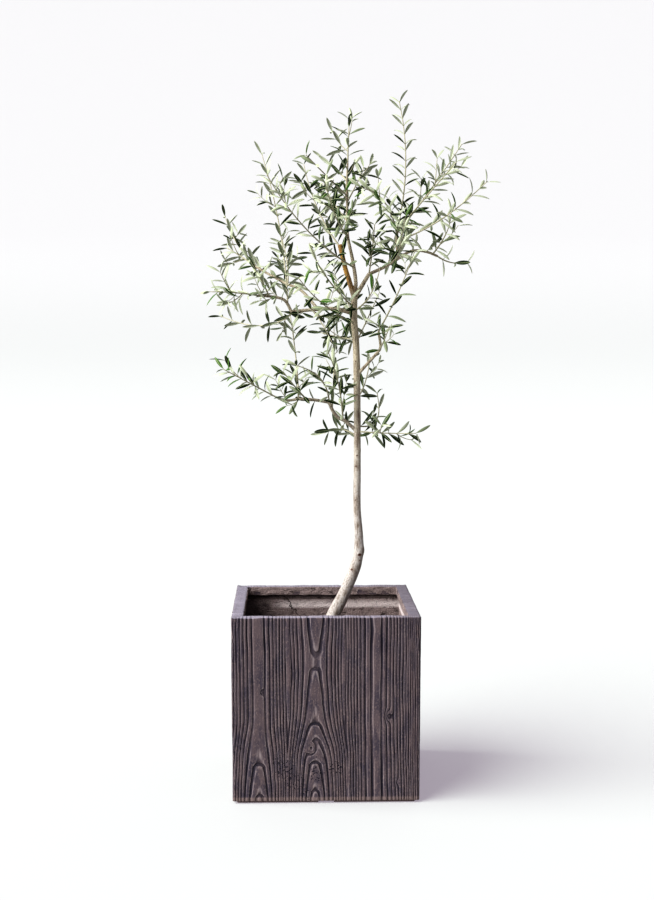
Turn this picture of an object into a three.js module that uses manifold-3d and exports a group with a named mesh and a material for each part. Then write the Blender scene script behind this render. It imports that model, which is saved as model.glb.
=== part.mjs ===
// A young olive tree in a square planter with a grained face.
// Millimetres, +Z up, origin at the centre of the planter's flat underside, front towards -Y.
//
// The planter, the soil, the trunk and the boughs are plain solids with their true sizes.
// Each mass of foliage is one stem that leaves a bough or the trunk, with side twigs and
// opposite pairs of leaves that grow by one seeded rule and keep to the mass's own space.

import * as THREE from 'three';
import { mergeVertices } from 'three/addons/utils/BufferGeometryUtils.js';
import Module from 'manifold-3d';

const wasm = await Module();
wasm.setup();

// Running gap between pieces that meet, the size below which an edge is left out, and how near
// two corners lie that are one
const GAP = 0.3;
const SHORTEST_EDGE = 0.05;
const SAME_CORNER = 1e-5;

// Planter
const POT_SIDE = 400;
const POT_HEIGHT = 400;
const POT_DRAFT = 2;
const CORNER_RADIUS = 3;
const CORNER_STEPS = 2;
const RIM_WIDTH = 26;
const LIP_HEIGHT = 21;
const WALL = 19;
const FLOOR = 22;
const FOOT_HEIGHT = 5;
const FOOT_INSET = 9;
const NOTCH_WIDTH = 33;
const NOTCH_DEPTH = 40;
const FUSE = 1;

// Soil, 100 mm below the rim
const SOIL_LEVEL = 300;

// Woody pieces: sides of a section, and length of a step along each kind
const TRUNK_SIDES = 10;
const BOUGH_SIDES = 6;
const TWIG_SIDES = 3;
const TRUNK_STEP = 40;
const BOUGH_STEP = 26;
const STEM_STEP = 60;
const TWIG_STEP = 50;

// The trunk's girth: its radius at each height
const TRUNK_GIRTH = [
  { height: SOIL_LEVEL, radius: 25 },
  { height: 318, radius: 18 },
  { height: 345, radius: 15 },
  { height: 430, radius: 12.6 },
  { height: 490, radius: 11.2 },
  { height: 508, radius: 11 },
  { height: 540, radius: 9.2 },
  { height: 610, radius: 8 },
  { height: 770, radius: 7.3 },
  { height: 965, radius: 6.9 },
  { height: 1035, radius: 7.4 },
  { height: 1082, radius: 6 },
];

// Trunk and boughs: the points each runs through, and its radius at the foot and the tip
const LIMBS = [
  {
    name: 'trunk',
    bends: [
      [-20, 0, SOIL_LEVEL - 30], [-7, 0, SOIL_LEVEL], [23, 0, 370], [51, 0, 427], [74, 0, 488], [78, 0, 530],
      [74, 0, 605], [74, 0, 770], [71, 0, 965], [66, 0, 1030], [68, 0, 1082],
    ],
  },
  {
    name: 'middle_leader',
    bends: [
      [68, 0, 1080], [70, 0, 1104], [63, 0, 1154], [52, 0, 1208], [51, 0, 1273], [50, 0, 1314], [52, 0, 1365],
    ],
    foot: 4,
    tip: 1.8,
  },
  {
    name: 'pruned_stub',
    bends: [[68, 0, 1066], [57, 0, 1104], [48, 0, 1132], [35, 0, 1187]],
    foot: 5.2,
    tip: 4.8,
  },
  {
    name: 'right_bough',
    bends: [[67, 0, 1070], [78, 0, 1088], [99, 0, 1123]],
    foot: 4.6,
    tip: 3.9,
  },
  {
    name: 'right_bough_outer',
    bends: [[99, 0, 1123], [132, 0, 1138], [160, 0, 1155], [194, 5, 1174], [227, 10, 1172], [251, 15, 1163]],
    foot: 3.5,
    tip: 2.4,
  },
  {
    name: 'right_riser',
    bends: [[160, 0, 1155], [161, 0, 1172], [160, 0, 1197], [161, 0, 1223]],
    foot: 3,
    tip: 2.6,
  },
  {
    name: 'left_limb_inner',
    bends: [[67, 0, 1036], [25, -5, 1047], [-13, -12, 1046], [-72, -24, 1040]],
    foot: 4.2,
    tip: 3.4,
  },
  {
    name: 'left_limb_outer',
    bends: [[-72, -24, 1040], [-77, -26, 1052], [-87, -30, 1066], [-108, -35, 1072], [-144, -45, 1075]],
    foot: 3.2,
    tip: 2.4,
  },
  {
    name: 'second_left_bough',
    bends: [[-13, -12, 1046], [-52, 30, 1090], [-83, 55, 1104], [-144, 100, 1139], [-160, 112, 1149]],
    foot: 3,
    tip: 2.3,
  },
  {
    name: 'low_left_bough_inner',
    bends: [[74, 0, 776], [46, -5, 801], [33, -8, 807], [20, -10, 822], [11, -12, 842]],
    foot: 3.8,
    tip: 3.4,
  },
  {
    name: 'low_left_bough_outer',
    bends: [[11, -12, 842], [-24, -18, 848], [-55, -24, 850], [-79, -28, 847], [-101, -32, 852]],
    foot: 3.2,
    tip: 2.4,
  },
  {
    name: 'low_right_bough',
    bends: [[72, 0, 900], [95, -8, 926], [116, -15, 950], [123, -20, 960], [118, -40, 998]],
    foot: 3.3,
    tip: 2.5,
  },
];

// Masses of foliage, under the limb each leaves: its name, how far along the limb it leaves, the
// middle and the tip of its stem, how many side twigs it has and how long the lowest of them is
const MASSES = {
  middle_leader: [
    ['crown_top', 1, [53, 0, 1402], [55, 5, 1444], 2, 60],
    ['crown_left_front', 0.75, [12, -60, 1322], [-32, -120, 1358], 2, 65],
    ['crown_left_back', 0.86, [35, 62, 1350], [7, 130, 1384], 2, 60],
    ['crown_right_back', 0.7, [77, 60, 1330], [91, 112, 1362], 2, 60],
    ['crown_back', 0.56, [30, 110, 1280], [5, 215, 1335], 3, 85],
    ['crown_front', 0.44, [25, -100, 1235], [0, -210, 1292], 2, 80],
    ['left_fan', 0.2, [-35, -85, 1210], [-115, -150, 1310], 2, 80],
  ],
  pruned_stub: [
    ['stub_shoot', 0.95, [-10, 45, 1262], [-40, 92, 1358], 2, 75],
  ],
  right_riser: [
    ['right_tall_shoot', 1, [179, 5, 1355], [169, 30, 1488], 1, 75],
    ['right_high', 0.84, [235, 55, 1307], [306, 100, 1407], 2, 80],
    ['right_high_front', 0.92, [217, -54, 1284], [269, -110, 1345], 2, 70],
    ['right_out', 0.6, [242, -90, 1232], [327, -150, 1300], 2, 80],
    ['right_inward', 0.76, [132, -70, 1268], [85, -140, 1294], 2, 65],
  ],
  right_bough_outer: [
    ['right_reach', 1, [277, 25, 1151], [304, 35, 1149], 2, 60],
    ['right_edge_up', 0.93, [262, -40, 1205], [270, -72, 1240], 2, 60],
    ['right_back', 0.28, [160, 110, 1180], [200, 220, 1248], 3, 90],
    ['right_front', 0.4, [160, -95, 1178], [160, -215, 1222], 3, 85],
  ],
  right_bough: [
    ['inner_upright', 1, [105, -5, 1168], [108, -38, 1216], 2, 60],
  ],
  left_limb_outer: [
    ['left_end', 1, [-185, -60, 1080], [-230, -75, 1082], 2, 70],
    ['left_front_up', 0.72, [-137, -80, 1110], [-155, -125, 1140], 2, 60],
    ['left_tall', 0.2, [-96, 43, 1220], [-133, 105, 1381], 3, 85],
  ],
  left_limb_inner: [
    ['left_hanging', 0.96, [-134, 90, 1011], [-225, 180, 1029], 2, 75],
    ['centre_hanging', 0.72, [-18, -48, 1034], [10, -100, 984], 2, 60],
  ],
  second_left_bough: [
    ['second_left_end', 1, [-180, 126, 1164], [-208, 146, 1182], 2, 55],
    ['left_back_tall', 0.9, [-193, 172, 1195], [-222, 222, 1255], 2, 70],
    ['left_back', 0.5, [-80, 145, 1148], [-90, 240, 1205], 3, 85],
  ],
  trunk: [
    ['centre_left_front', 0.961, [5, -70, 1112], [-30, -140, 1172], 2, 75],
    ['centre_front', 0.92, [0, -110, 1052], [-52, -215, 1100], 3, 85],
    ['centre_back', 0.908, [62, 120, 1050], [42, 240, 1112], 3, 90],
    ['centre_left_back', 0.877, [35, 50, 985], [3, 112, 993], 2, 60],
    ['centre_right_front', 0.952, [96, -60, 1072], [114, -112, 1122], 2, 60],
    ['right_middle_back', 0.867, [97, 50, 1022], [125, 112, 1077], 2, 70],
    ['low_back', 0.721, [95, 90, 880], [112, 190, 930], 3, 85],
    ['low_right', 0.648, [117, 45, 796], [125, 84, 845], 2, 60],
    ['low_right_front', 0.633, [130, -40, 776], [184, -82, 778], 2, 60],
    ['low_left_back', 0.618, [44, 42, 778], [10, 90, 770], 2, 60],
  ],
  low_right_bough: [
    ['right_middle', 1, [153, -95, 1073], [182, -147, 1152], 2, 75],
    ['right_middle_front', 0.62, [125, -95, 975], [130, -200, 1005], 2, 75],
  ],
  low_left_bough_inner: [
    ['low_left_rise', 0.82, [24, 53, 918], [25, 100, 1015], 2, 80],
    ['low_left_front', 1, [-6, -65, 892], [-50, -120, 922], 2, 70],
    ['low_front', 0.45, [30, -75, 882], [8, -150, 948], 2, 75],
  ],
  low_left_bough_outer: [
    ['low_left_end', 1, [-152, -45, 880], [-206, -70, 910], 2, 75],
    ['low_left_tall', 0.6, [-61, 28, 932], [-73, 80, 1027], 2, 70],
    ['low_left_tuft', 0.45, [-62, -62, 876], [-84, -110, 905], 2, 55],
  ],
};

// Growth rule of a mass
const STEM_FOOT_RADIUS = 2.2;
const STEM_TIP_RADIUS = 1.1;
const TWIG_FOOT_RADIUS = 1.4;
const TWIG_TIP_RADIUS = 1;
const TWIG_ZONE = [0.2, 0.86];
const TWIG_PLACE = [0.3, 0.7];
const TWIG_ANGLE = THREE.MathUtils.degToRad(48);
const TWIG_ANGLE_SPREAD = THREE.MathUtils.degToRad(18);
const TWIG_TURN = THREE.MathUtils.degToRad(137.5);
const TWIG_TURN_JITTER = 0.4;
const TWIG_LENGTHS = [0.8, 1.15];
const TWIG_SHORTENING = 0.45;
const TWIG_LIFT = 0.16;
const SHORTEST_TWIG = 26;
const PROBE_START = 12;
const PROBE_STEP = 6;
const STEM_PAIR_GAP = 46;
const TWIG_PAIR_GAP = 70;
const BARE_FOOT = 22;
const LEAF_LENGTH = 60;
const LEAF_WIDTH = 13;
const LEAF_THICKNESS = 2;
const LEAF_WIDEST = 0.46;
const LEAF_LENGTHS = [0.82, 1.08];
const LEAF_SINK = 0.6;
const LEAF_TURN_JITTER = 0.25;
const LEAF_ANGLE = THREE.MathUtils.degToRad(50);
const LEAF_ANGLE_SPREAD = THREE.MathUtils.degToRad(22);
const TIP_LEAF_ANGLE = THREE.MathUtils.degToRad(16);
const TIP_LEAF_FAN = THREE.MathUtils.degToRad(12);
const TIP_LEAF_PLACE = 0.985;
const SPACE_MARGIN = 1.6;
const LIMB_MARGIN = 1.5;
const FIRST_SEED = 700;
const LEAF_SEED_STEP = 7919;

// Places on a leaf that must stay in its mass's space: shares of its half width and its length
const LEAF_PROBES = [
  [0, 0.2], [-1, LEAF_WIDEST], [1, LEAF_WIDEST], [-0.5, 0.75], [0.5, 0.75], [0, 1],
];

// Finishes
const FINISH = {
  pot: { color: 0x5c5259, roughness: 0.85 },
  soil: { color: 0x3a2a20, roughness: 1 },
  bark: { color: 0xa08f78, roughness: 0.9 },
  stub: { color: 0xb98548, roughness: 0.8 },
  foliage: { color: 0x56704a, roughness: 0.6 },
};

// A repeatable stream of numbers from 0 to 1
function stream(seed) {
  let state = seed >>> 0;
  return () => {
    state = (state + 0x6d2b79f5) >>> 0;
    let mixed = Math.imul(state ^ (state >>> 15), state | 1);
    mixed ^= mixed + Math.imul(mixed ^ (mixed >>> 7), mixed | 61);
    return ((mixed ^ (mixed >>> 14)) >>> 0) / 2 ** 32;
  };
}

// A number from low to high out of a stream
function between(next, low, high) {
  return low + (high - low) * next();
}

function point(values) {
  return new THREE.Vector3(...values);
}

// Closed solid of a geometry whose shared corners are merged
function solidOf(geometry) {
  const bare = geometry.clone();
  bare.deleteAttribute('normal');
  bare.deleteAttribute('uv');
  const merged = mergeVertices(bare, SAME_CORNER);
  return new wasm.Manifold(new wasm.Mesh({
    numProp: 3,
    vertProperties: new Float32Array(merged.attributes.position.array),
    triVerts: new Uint32Array(merged.index.array),
  }));
}

// Geometry of a solid, seen from a place that the mesh is then put at
function geometryOf(solid, place) {
  const mesh = solid.getMesh();
  const geometry = new THREE.BufferGeometry();
  geometry.setAttribute('position', new THREE.BufferAttribute(new Float32Array(mesh.vertProperties), 3));
  geometry.setIndex(new THREE.BufferAttribute(new Uint32Array(mesh.triVerts), 1));
  geometry.translate(-place.x, -place.y, -place.z);
  geometry.computeVertexNormals();
  return geometry;
}

// All the solids of a list joined two by two
function joined(solids) {
  let row = solids;
  while (row.length > 1) {
    const next = [];
    for (let i = 0; i < row.length; i += 2) {
      next.push(i + 1 < row.length ? row[i].add(row[i + 1]) : row[i]);
    }
    row = next;
  }
  return row[0];
}

// The largest body of a solid, without loose scraps, sealed hollows or edges too short to matter
function mainBody(solid) {
  const bodies = solid.simplify(SHORTEST_EDGE).decompose();
  return bodies.reduce((best, body) => (body.volume() > best.volume() ? body : best));
}

function namedMesh(name, solid, finish, foot = new THREE.Vector3()) {
  const place = foot.clone().round();
  const material = new THREE.MeshStandardMaterial({ ...finish, metalness: 0 });
  const mesh = new THREE.Mesh(geometryOf(solid, place), material);
  mesh.name = name;
  mesh.position.copy(place);
  return mesh;
}

// Square block with rounded upright corners, whose side changes evenly from bottom to top
function taperedBlock(lowSide, highSide, low, high) {
  const half = highSide / 2;
  const inner = half - CORNER_RADIUS;
  const shape = new THREE.Shape();
  [[1, 1], [-1, 1], [-1, -1], [1, -1]].forEach(([sx, sy], turn) => {
    const start = (turn * Math.PI) / 2;
    shape.absarc(sx * inner, sy * inner, CORNER_RADIUS, start, start + Math.PI / 2, false);
  });
  const block = new THREE.ExtrudeGeometry(shape, {
    depth: high - low,
    bevelEnabled: false,
    curveSegments: CORNER_STEPS,
  });
  const at = block.attributes.position;
  for (let i = 0; i < at.count; i += 1) {
    const rise = at.getZ(i) / (high - low);
    const scale = THREE.MathUtils.lerp(lowSide / highSide, 1, rise);
    at.setXYZ(i, at.getX(i) * scale, at.getY(i) * scale, low + at.getZ(i));
  }
  return solidOf(block);
}

// Side of the planter's outer face at a height
function potSideAt(height) {
  return POT_SIDE - 2 * POT_DRAFT * (1 - height / POT_HEIGHT);
}

function buildPot() {
  const body = taperedBlock(potSideAt(FOOT_HEIGHT), POT_SIDE, FOOT_HEIGHT, POT_HEIGHT);
  const footSide = potSideAt(0) - 2 * FOOT_INSET;
  const foot = taperedBlock(footSide, footSide, 0, FOOT_HEIGHT + FUSE);
  const mouthSide = POT_SIDE - 2 * RIM_WIDTH;
  const lipFoot = POT_HEIGHT - LIP_HEIGHT;
  const mouth = taperedBlock(mouthSide, mouthSide, lipFoot - FUSE, POT_HEIGHT + FUSE);
  const hollow = taperedBlock(potSideAt(FLOOR) - 2 * WALL, potSideAt(lipFoot) - 2 * WALL, FLOOR, lipFoot);
  let pot = body.add(foot).subtract(mouth).subtract(hollow);
  const notch = new THREE.BoxGeometry(NOTCH_WIDTH, 2 * NOTCH_DEPTH, 2 * FOOT_HEIGHT);
  for (let side = 0; side < 4; side += 1) {
    const cut = notch.clone().translate(0, -footSide / 2, 0).rotateZ((side * Math.PI) / 2);
    pot = pot.subtract(solidOf(cut));
  }
  return namedMesh('pot', pot, FINISH.pot);
}

function buildSoil() {
  const clear = 2 * (WALL + GAP);
  const low = FLOOR + GAP;
  const soil = taperedBlock(potSideAt(low) - clear, potSideAt(SOIL_LEVEL) - clear, low, SOIL_LEVEL);
  return namedMesh('soil', soil, FINISH.soil, new THREE.Vector3(0, 0, SOIL_LEVEL));
}

// A smooth curve as straight segments of about one step each: what a tube runs along, and what
// everything on that tube grows from
function chainAlong(curve, step) {
  const steps = Math.max(2, Math.round(curve.getLength() / step));
  const points = curve.getSpacedPoints(steps);
  const path = new THREE.CurvePath();
  for (let i = 0; i < steps; i += 1) {
    path.add(new THREE.LineCurve3(points[i], points[i + 1]));
  }
  return { path, points, steps };
}

// Closed tube along a chain: a capped cylinder whose rings are set at its points.
// The grow value makes it fatter, and longer at both ends, by that much.
function taperedTube({ path, points, steps }, sides, radiusAt, grow = 0) {
  const frames = path.computeFrenetFrames(steps, false);
  const tube = new THREE.CylinderGeometry(1, 1, 1, sides, steps, false);
  const at = tube.attributes.position;
  for (let i = 0; i < at.count; i += 1) {
    const ring = Math.round((at.getY(i) + 0.5) * steps);
    const centre = points[ring].clone();
    const radius = radiusAt(ring / steps, centre) + grow;
    if (ring === 0) {
      centre.addScaledVector(frames.tangents[ring], -grow);
    }
    if (ring === steps) {
      centre.addScaledVector(frames.tangents[ring], grow);
    }
    centre.addScaledVector(frames.normals[ring], at.getX(i) * radius);
    centre.addScaledVector(frames.binormals[ring], -at.getZ(i) * radius);
    at.setXYZ(i, centre.x, centre.y, centre.z);
  }
  return solidOf(tube);
}

// Radius along a twig or a bough that thins evenly from its foot to its tip
function taper(foot, tip) {
  return (along) => THREE.MathUtils.lerp(foot, tip, along);
}

// The trunk's radius at a height, read from its girths
function trunkRadius(height) {
  const upper = TRUNK_GIRTH.findIndex((girth) => girth.height >= height);
  if (upper < 1) {
    return TRUNK_GIRTH.at(upper).radius;
  }
  const low = TRUNK_GIRTH[upper - 1];
  const high = TRUNK_GIRTH[upper];
  return THREE.MathUtils.mapLinear(height, low.height, high.height, low.radius, high.radius);
}

// A limb's chain, its thickness and its solid before anything is cut from it
function layOutLimb({ name, bends, foot, tip }) {
  const isTrunk = name === 'trunk';
  const taperAt = taper(foot, tip);
  const curve = new THREE.CatmullRomCurve3(bends.map(point), false, 'centripetal');
  const chain = chainAlong(curve, isTrunk ? TRUNK_STEP : BOUGH_STEP);
  const sides = isTrunk ? TRUNK_SIDES : BOUGH_SIDES;
  const radiusAt = (along, centre) => (isTrunk ? trunkRadius(centre.z) : taperAt(along));
  return {
    name,
    chain,
    thickAt: (height) => (isTrunk ? trunkRadius(height) : foot),
    solid: taperedTube(chain, sides, radiusAt),
    clearance: taperedTube(chain, sides, radiusAt, GAP),
  };
}

// All that lies below the trunk's flat cut at the soil
function belowGround() {
  const cut = new THREE.BoxGeometry(POT_SIDE, POT_SIDE, SOIL_LEVEL);
  return solidOf(cut.translate(0, 0, GAP + SOIL_LEVEL / 2));
}

// Each limb is cut clear of the soil, of the trunk and of every limb before it in the list
function buildLimbs(limbs) {
  const ground = belowGround();
  return limbs.map((limb, order) => {
    const before = limbs.slice(0, order);
    const whole = limb.solid.subtract(ground);
    const solid = before.reduce((piece, other) => piece.subtract(other.clearance), whole);
    const finish = limb.name === 'pruned_stub' ? FINISH.stub : FINISH.bark;
    return namedMesh(limb.name, mainBody(solid), finish, limb.chain.points[0]);
  });
}

// A curve that runs from the foot through the knee to the tip
function curveThrough(foot, knee, tip) {
  const pull = knee.clone().multiplyScalar(2).addScaledVector(foot, -0.5).addScaledVector(tip, -0.5);
  return new THREE.QuadraticBezierCurve3(foot, pull, tip);
}

// A mass's stem, from the limb that it leaves
function layOutStem(seed, limb, name, along, knee, tip, twigs, reach) {
  const curve = curveThrough(limb.chain.path.getPointAt(along), point(knee), point(tip));
  return { name, seed, twigs, reach, chain: chainAlong(curve, STEM_STEP) };
}

// Shortest distance from a place to a chain
function distanceTo(place, { points }) {
  let nearest = Infinity;
  const onLine = new THREE.Vector3();
  for (let i = 1; i < points.length; i += 1) {
    const line = new THREE.Line3(points[i - 1], points[i]);
    line.closestPointToPoint(place, true, onLine);
    nearest = Math.min(nearest, place.distanceTo(onLine));
  }
  return nearest;
}

// True where a place is nearer to the stem than to any other stem, and clear of every limb
function inOwnSpace(place, stem, stems, limbs) {
  const own = distanceTo(place, stem.chain) + SPACE_MARGIN;
  if (stems.some((other) => other !== stem && distanceTo(place, other.chain) < own)) {
    return false;
  }
  return limbs.every((limb) => distanceTo(place, limb.chain) > limb.thickAt(place.z) + LIMB_MARGIN);
}

// A unit direction square to an axis, turned about it by an angle
function squareTo(axis, angle) {
  const level = Math.abs(axis.z) < 0.9 ? new THREE.Vector3(0, 0, 1) : new THREE.Vector3(1, 0, 0);
  const across = new THREE.Vector3().crossVectors(axis, level).normalize();
  return across.applyAxisAngle(axis, angle);
}

// Side twigs of a stem: spread round it by a fixed turn, shorter towards its tip
function growTwigs(stem, stems, limbs) {
  const next = stream(stem.seed);
  const start = between(next, 0, 2 * Math.PI);
  const twigs = [];
  for (let i = 0; i < stem.twigs; i += 1) {
    const share = (i + between(next, ...TWIG_PLACE)) / stem.twigs;
    const along = THREE.MathUtils.lerp(...TWIG_ZONE, share);
    const turn = start + i * TWIG_TURN + between(next, -TWIG_TURN_JITTER, TWIG_TURN_JITTER);
    const angle = TWIG_ANGLE + between(next, -0.5, 0.5) * TWIG_ANGLE_SPREAD;
    const full = stem.reach * between(next, ...TWIG_LENGTHS) * (1 - TWIG_SHORTENING * share);
    const foot = stem.chain.path.getPointAt(along);
    const axis = stem.chain.path.getTangentAt(along);
    const heading = axis.clone().multiplyScalar(Math.cos(angle));
    heading.addScaledVector(squareTo(axis, turn), Math.sin(angle));
    const length = freeLength(foot, heading, full, (place) => inOwnSpace(place, stem, stems, limbs));
    if (length >= SHORTEST_TWIG) {
      const knee = foot.clone().addScaledVector(heading, length / 2);
      const tip = foot.clone().addScaledVector(heading, length);
      tip.z += TWIG_LIFT * length;
      twigs.push(chainAlong(curveThrough(foot, knee, tip), TWIG_STEP));
    }
  }
  return twigs;
}

// How far a twig reaches before it leaves the space that a test allows
function freeLength(foot, heading, full, allowed) {
  for (let reach = PROBE_START; reach <= full; reach += PROBE_STEP) {
    const place = foot.clone().addScaledVector(heading, reach);
    place.z += (TWIG_LIFT * reach * reach) / full;
    if (!allowed(place)) {
      return reach - 2 * PROBE_STEP;
    }
  }
  return full;
}

// Half of the width of a leaf of some length
function halfWidth(length) {
  return (LEAF_WIDTH * length) / LEAF_LENGTH / 2;
}

// Leaf blade of six faces: flat below, keeled above, widest near its middle, root at the start
function leafGeometry(length) {
  const blade = new THREE.SphereGeometry(1, 3, 2);
  const at = blade.attributes.position;
  for (let i = 0; i < at.count; i += 1) {
    const along = length * THREE.MathUtils.mapLinear(at.getY(i), -1, 1, 0, 1);
    const middle = 1 - Math.abs(at.getY(i));
    const across = Math.sign(Math.round(at.getZ(i))) * halfWidth(length);
    const keel = at.getX(i) < -0.5 ? LEAF_THICKNESS : 0;
    at.setXYZ(i, middle * across, along + middle * (LEAF_WIDEST - 0.5) * length, middle * keel);
  }
  return blade;
}

// One leaf that leaves its twig at a place, with its upper face towards the twig's tip
function placeLeaf(place, axis, turn, angle, length, radius) {
  const heading = axis.clone().multiplyScalar(Math.cos(angle));
  heading.addScaledVector(squareTo(axis, turn), Math.sin(angle));
  const upper = axis.clone().addScaledVector(heading, -axis.dot(heading)).normalize();
  const side = new THREE.Vector3().crossVectors(heading, upper);
  const root = place.clone().addScaledVector(heading, -LEAF_SINK * radius);
  const pose = new THREE.Matrix4().makeBasis(side, heading, upper).setPosition(root);
  return { pose, length };
}

function leafProbes({ pose, length }) {
  const half = halfWidth(length);
  return LEAF_PROBES.map(([x, y]) => new THREE.Vector3(x * half, y * length, 0).applyMatrix4(pose));
}

// Opposite pairs of leaves along a twig, each pair a quarter turn from the last, and one or two
// leaves at its tip
function growLeaves({ chain, radiusAt, pairGap, tipLeaves }, next) {
  const reach = chain.path.getLength();
  const pairs = Math.max(1, Math.round((reach - BARE_FOOT) / pairGap));
  const start = between(next, 0, Math.PI);
  const leaves = [];
  for (let i = 0; i <= pairs; i += 1) {
    const atTip = i === pairs;
    const along = THREE.MathUtils.lerp(BARE_FOOT / reach, TIP_LEAF_PLACE, i / pairs);
    const place = chain.path.getPointAt(along);
    const axis = chain.path.getTangentAt(along);
    for (let side = 0; side < (atTip ? tipLeaves : 2); side += 1) {
      const jitter = between(next, -LEAF_TURN_JITTER, LEAF_TURN_JITTER);
      const turn = start + (i * Math.PI) / 2 + side * Math.PI + jitter;
      const wide = LEAF_ANGLE + between(next, -0.5, 0.5) * LEAF_ANGLE_SPREAD;
      const angle = atTip ? TIP_LEAF_ANGLE + TIP_LEAF_FAN * side : wide;
      const length = LEAF_LENGTH * between(next, ...LEAF_LENGTHS);
      leaves.push(placeLeaf(place, axis, turn, angle, length, radiusAt(along)));
    }
  }
  return leaves;
}

// A mass: its stem, its side twigs and the leaves of them all, fused and cut clear of the limbs
function buildMass(stem, stems, limbs, limbSpace) {
  const leafStream = stream(stem.seed + LEAF_SEED_STEP);
  const wood = [{
    chain: stem.chain,
    radiusAt: taper(STEM_FOOT_RADIUS, STEM_TIP_RADIUS),
    pairGap: STEM_PAIR_GAP,
    tipLeaves: 2,
  }];
  growTwigs(stem, stems, limbs).forEach((chain) => wood.push({
    chain,
    radiusAt: taper(TWIG_FOOT_RADIUS, TWIG_TIP_RADIUS),
    pairGap: TWIG_PAIR_GAP,
    tipLeaves: 1,
  }));
  const pieces = [];
  wood.forEach((piece) => {
    pieces.push(taperedTube(piece.chain, TWIG_SIDES, piece.radiusAt));
    growLeaves(piece, leafStream)
      .filter((leaf) => leafProbes(leaf).every((probe) => inOwnSpace(probe, stem, stems, limbs)))
      .forEach((leaf) => pieces.push(solidOf(leafGeometry(leaf.length).applyMatrix4(leaf.pose))));
  });
  const solid = mainBody(joined(pieces).subtract(limbSpace));
  return namedMesh(`leaves_${stem.name}`, solid, FINISH.foliage, stem.chain.points[0]);
}

function buildTree() {
  const limbs = LIMBS.map(layOutLimb);
  const rows = limbs.flatMap((limb) => (MASSES[limb.name] ?? []).map((row) => [limb, ...row]));
  const stems = rows.map((row, order) => layOutStem(FIRST_SEED + order, ...row));
  const wood = new THREE.Group();
  wood.add(...buildLimbs(limbs));
  const crown = new THREE.Group();
  const limbSpace = joined(limbs.map((limb) => limb.clearance));
  crown.add(...stems.map((stem) => buildMass(stem, stems, limbs, limbSpace)));
  return [wood, crown];
}

const tree = new THREE.Group();
tree.name = 'potted_olive_tree';
const planter = new THREE.Group();
planter.add(buildPot(), buildSoil());
tree.add(planter, ...buildTree());

export default tree;
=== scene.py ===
"""A young olive tree in a square cast planter with a wood-grain relief.

The tables of limbs and masses are in millimetres, as the solids have them, and MM makes them metres.
"""

import sys
import logging
import math
from dataclasses import dataclass, field
from enum import Enum
from typing import Callable, Iterator, Sequence

import bmesh
import bpy
import numpy as np
from mathutils import Euler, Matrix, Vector


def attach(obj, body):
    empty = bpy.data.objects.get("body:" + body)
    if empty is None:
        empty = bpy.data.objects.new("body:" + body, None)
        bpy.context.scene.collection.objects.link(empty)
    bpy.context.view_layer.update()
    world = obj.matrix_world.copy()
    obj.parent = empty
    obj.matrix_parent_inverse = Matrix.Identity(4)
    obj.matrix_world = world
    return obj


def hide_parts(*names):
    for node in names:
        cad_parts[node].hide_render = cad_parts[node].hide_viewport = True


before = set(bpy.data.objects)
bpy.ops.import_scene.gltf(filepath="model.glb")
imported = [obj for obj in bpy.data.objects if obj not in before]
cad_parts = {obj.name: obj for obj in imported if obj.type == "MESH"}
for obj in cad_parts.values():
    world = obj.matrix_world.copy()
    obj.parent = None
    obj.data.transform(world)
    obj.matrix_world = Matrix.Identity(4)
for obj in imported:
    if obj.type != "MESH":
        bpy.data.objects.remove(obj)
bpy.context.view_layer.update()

BODY = "root"
MM = 0.001
Colour = tuple[float, float, float]
Place = tuple[float, float, float]
Span = tuple[float, float]

log = logging.getLogger("olive")


# Small helpers


def smooth(low: float, high: float, at: np.ndarray) -> np.ndarray:
    """Rises softly from 0 at low to 1 at high.

    Args:
        low: Where it starts.
        high: Where it is full.
        at: The numbers to look up.

    Returns:
        Shares from 0 to 1.
    """
    share = np.clip((at - low) / (high - low), 0, 1)
    return share * share * (3 - 2 * share)


class Lumps:
    """Soft repeatable noise on a lattice of random heights."""

    def __init__(self, seed: int, cells: int = 32) -> None:
        """Args: seed picks the heights, cells is how many there are each way before they repeat."""
        self.cells = cells
        self.heights = np.random.default_rng(seed).uniform(-1, 1, (cells, cells, cells))

    def at(self, places: np.ndarray, size: Sequence[float]) -> np.ndarray:
        """Noise from -1 to 1.

        Args:
            places: Points, one a row.
            size: Size of a lump along each axis.

        Returns:
            One number for each point.
        """
        grid = places / np.asarray(size) + self.cells * 8
        low = np.floor(grid).astype(int)
        part = grid - low
        part = part * part * (3 - 2 * part)
        total = np.zeros(len(places))
        for corner in np.ndindex(2, 2, 2):
            weight = np.prod(np.where(np.array(corner), part, 1 - part), axis=1)
            cell = (low + corner) % self.cells
            total += weight * self.heights[cell[:, 0], cell[:, 1], cell[:, 2]]
        return total


def points_of(piece: bpy.types.Object) -> np.ndarray:
    """The places of a mesh's corners.

    Args:
        piece: The piece that has the mesh.

    Returns:
        One place a row.
    """
    places = np.empty(len(piece.data.vertices) * 3)
    piece.data.vertices.foreach_get("co", places)
    return places.reshape(-1, 3)


def normals_of(piece: bpy.types.Object) -> np.ndarray:
    """The directions in which a mesh's corners face.

    Args:
        piece: The piece that has the mesh.

    Returns:
        One direction a row.
    """
    found = np.empty(len(piece.data.vertices) * 3, np.float32)
    piece.data.vertex_normals.foreach_get("vector", found)
    return found.reshape(-1, 3).astype(float)


def move_points(piece: bpy.types.Object, places: np.ndarray) -> None:
    """Puts a mesh's corners at new places."""
    piece.data.vertices.foreach_set("co", places.ravel())
    piece.data.update()


def keep_numbers(piece: bpy.types.Object, name: str, numbers: np.ndarray) -> None:
    """Stores one number a corner, which a finish reads by its name."""
    layer = piece.data.attributes.new(name, "FLOAT", "POINT")
    layer.data.foreach_set("value", numbers.astype(np.float32))


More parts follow.
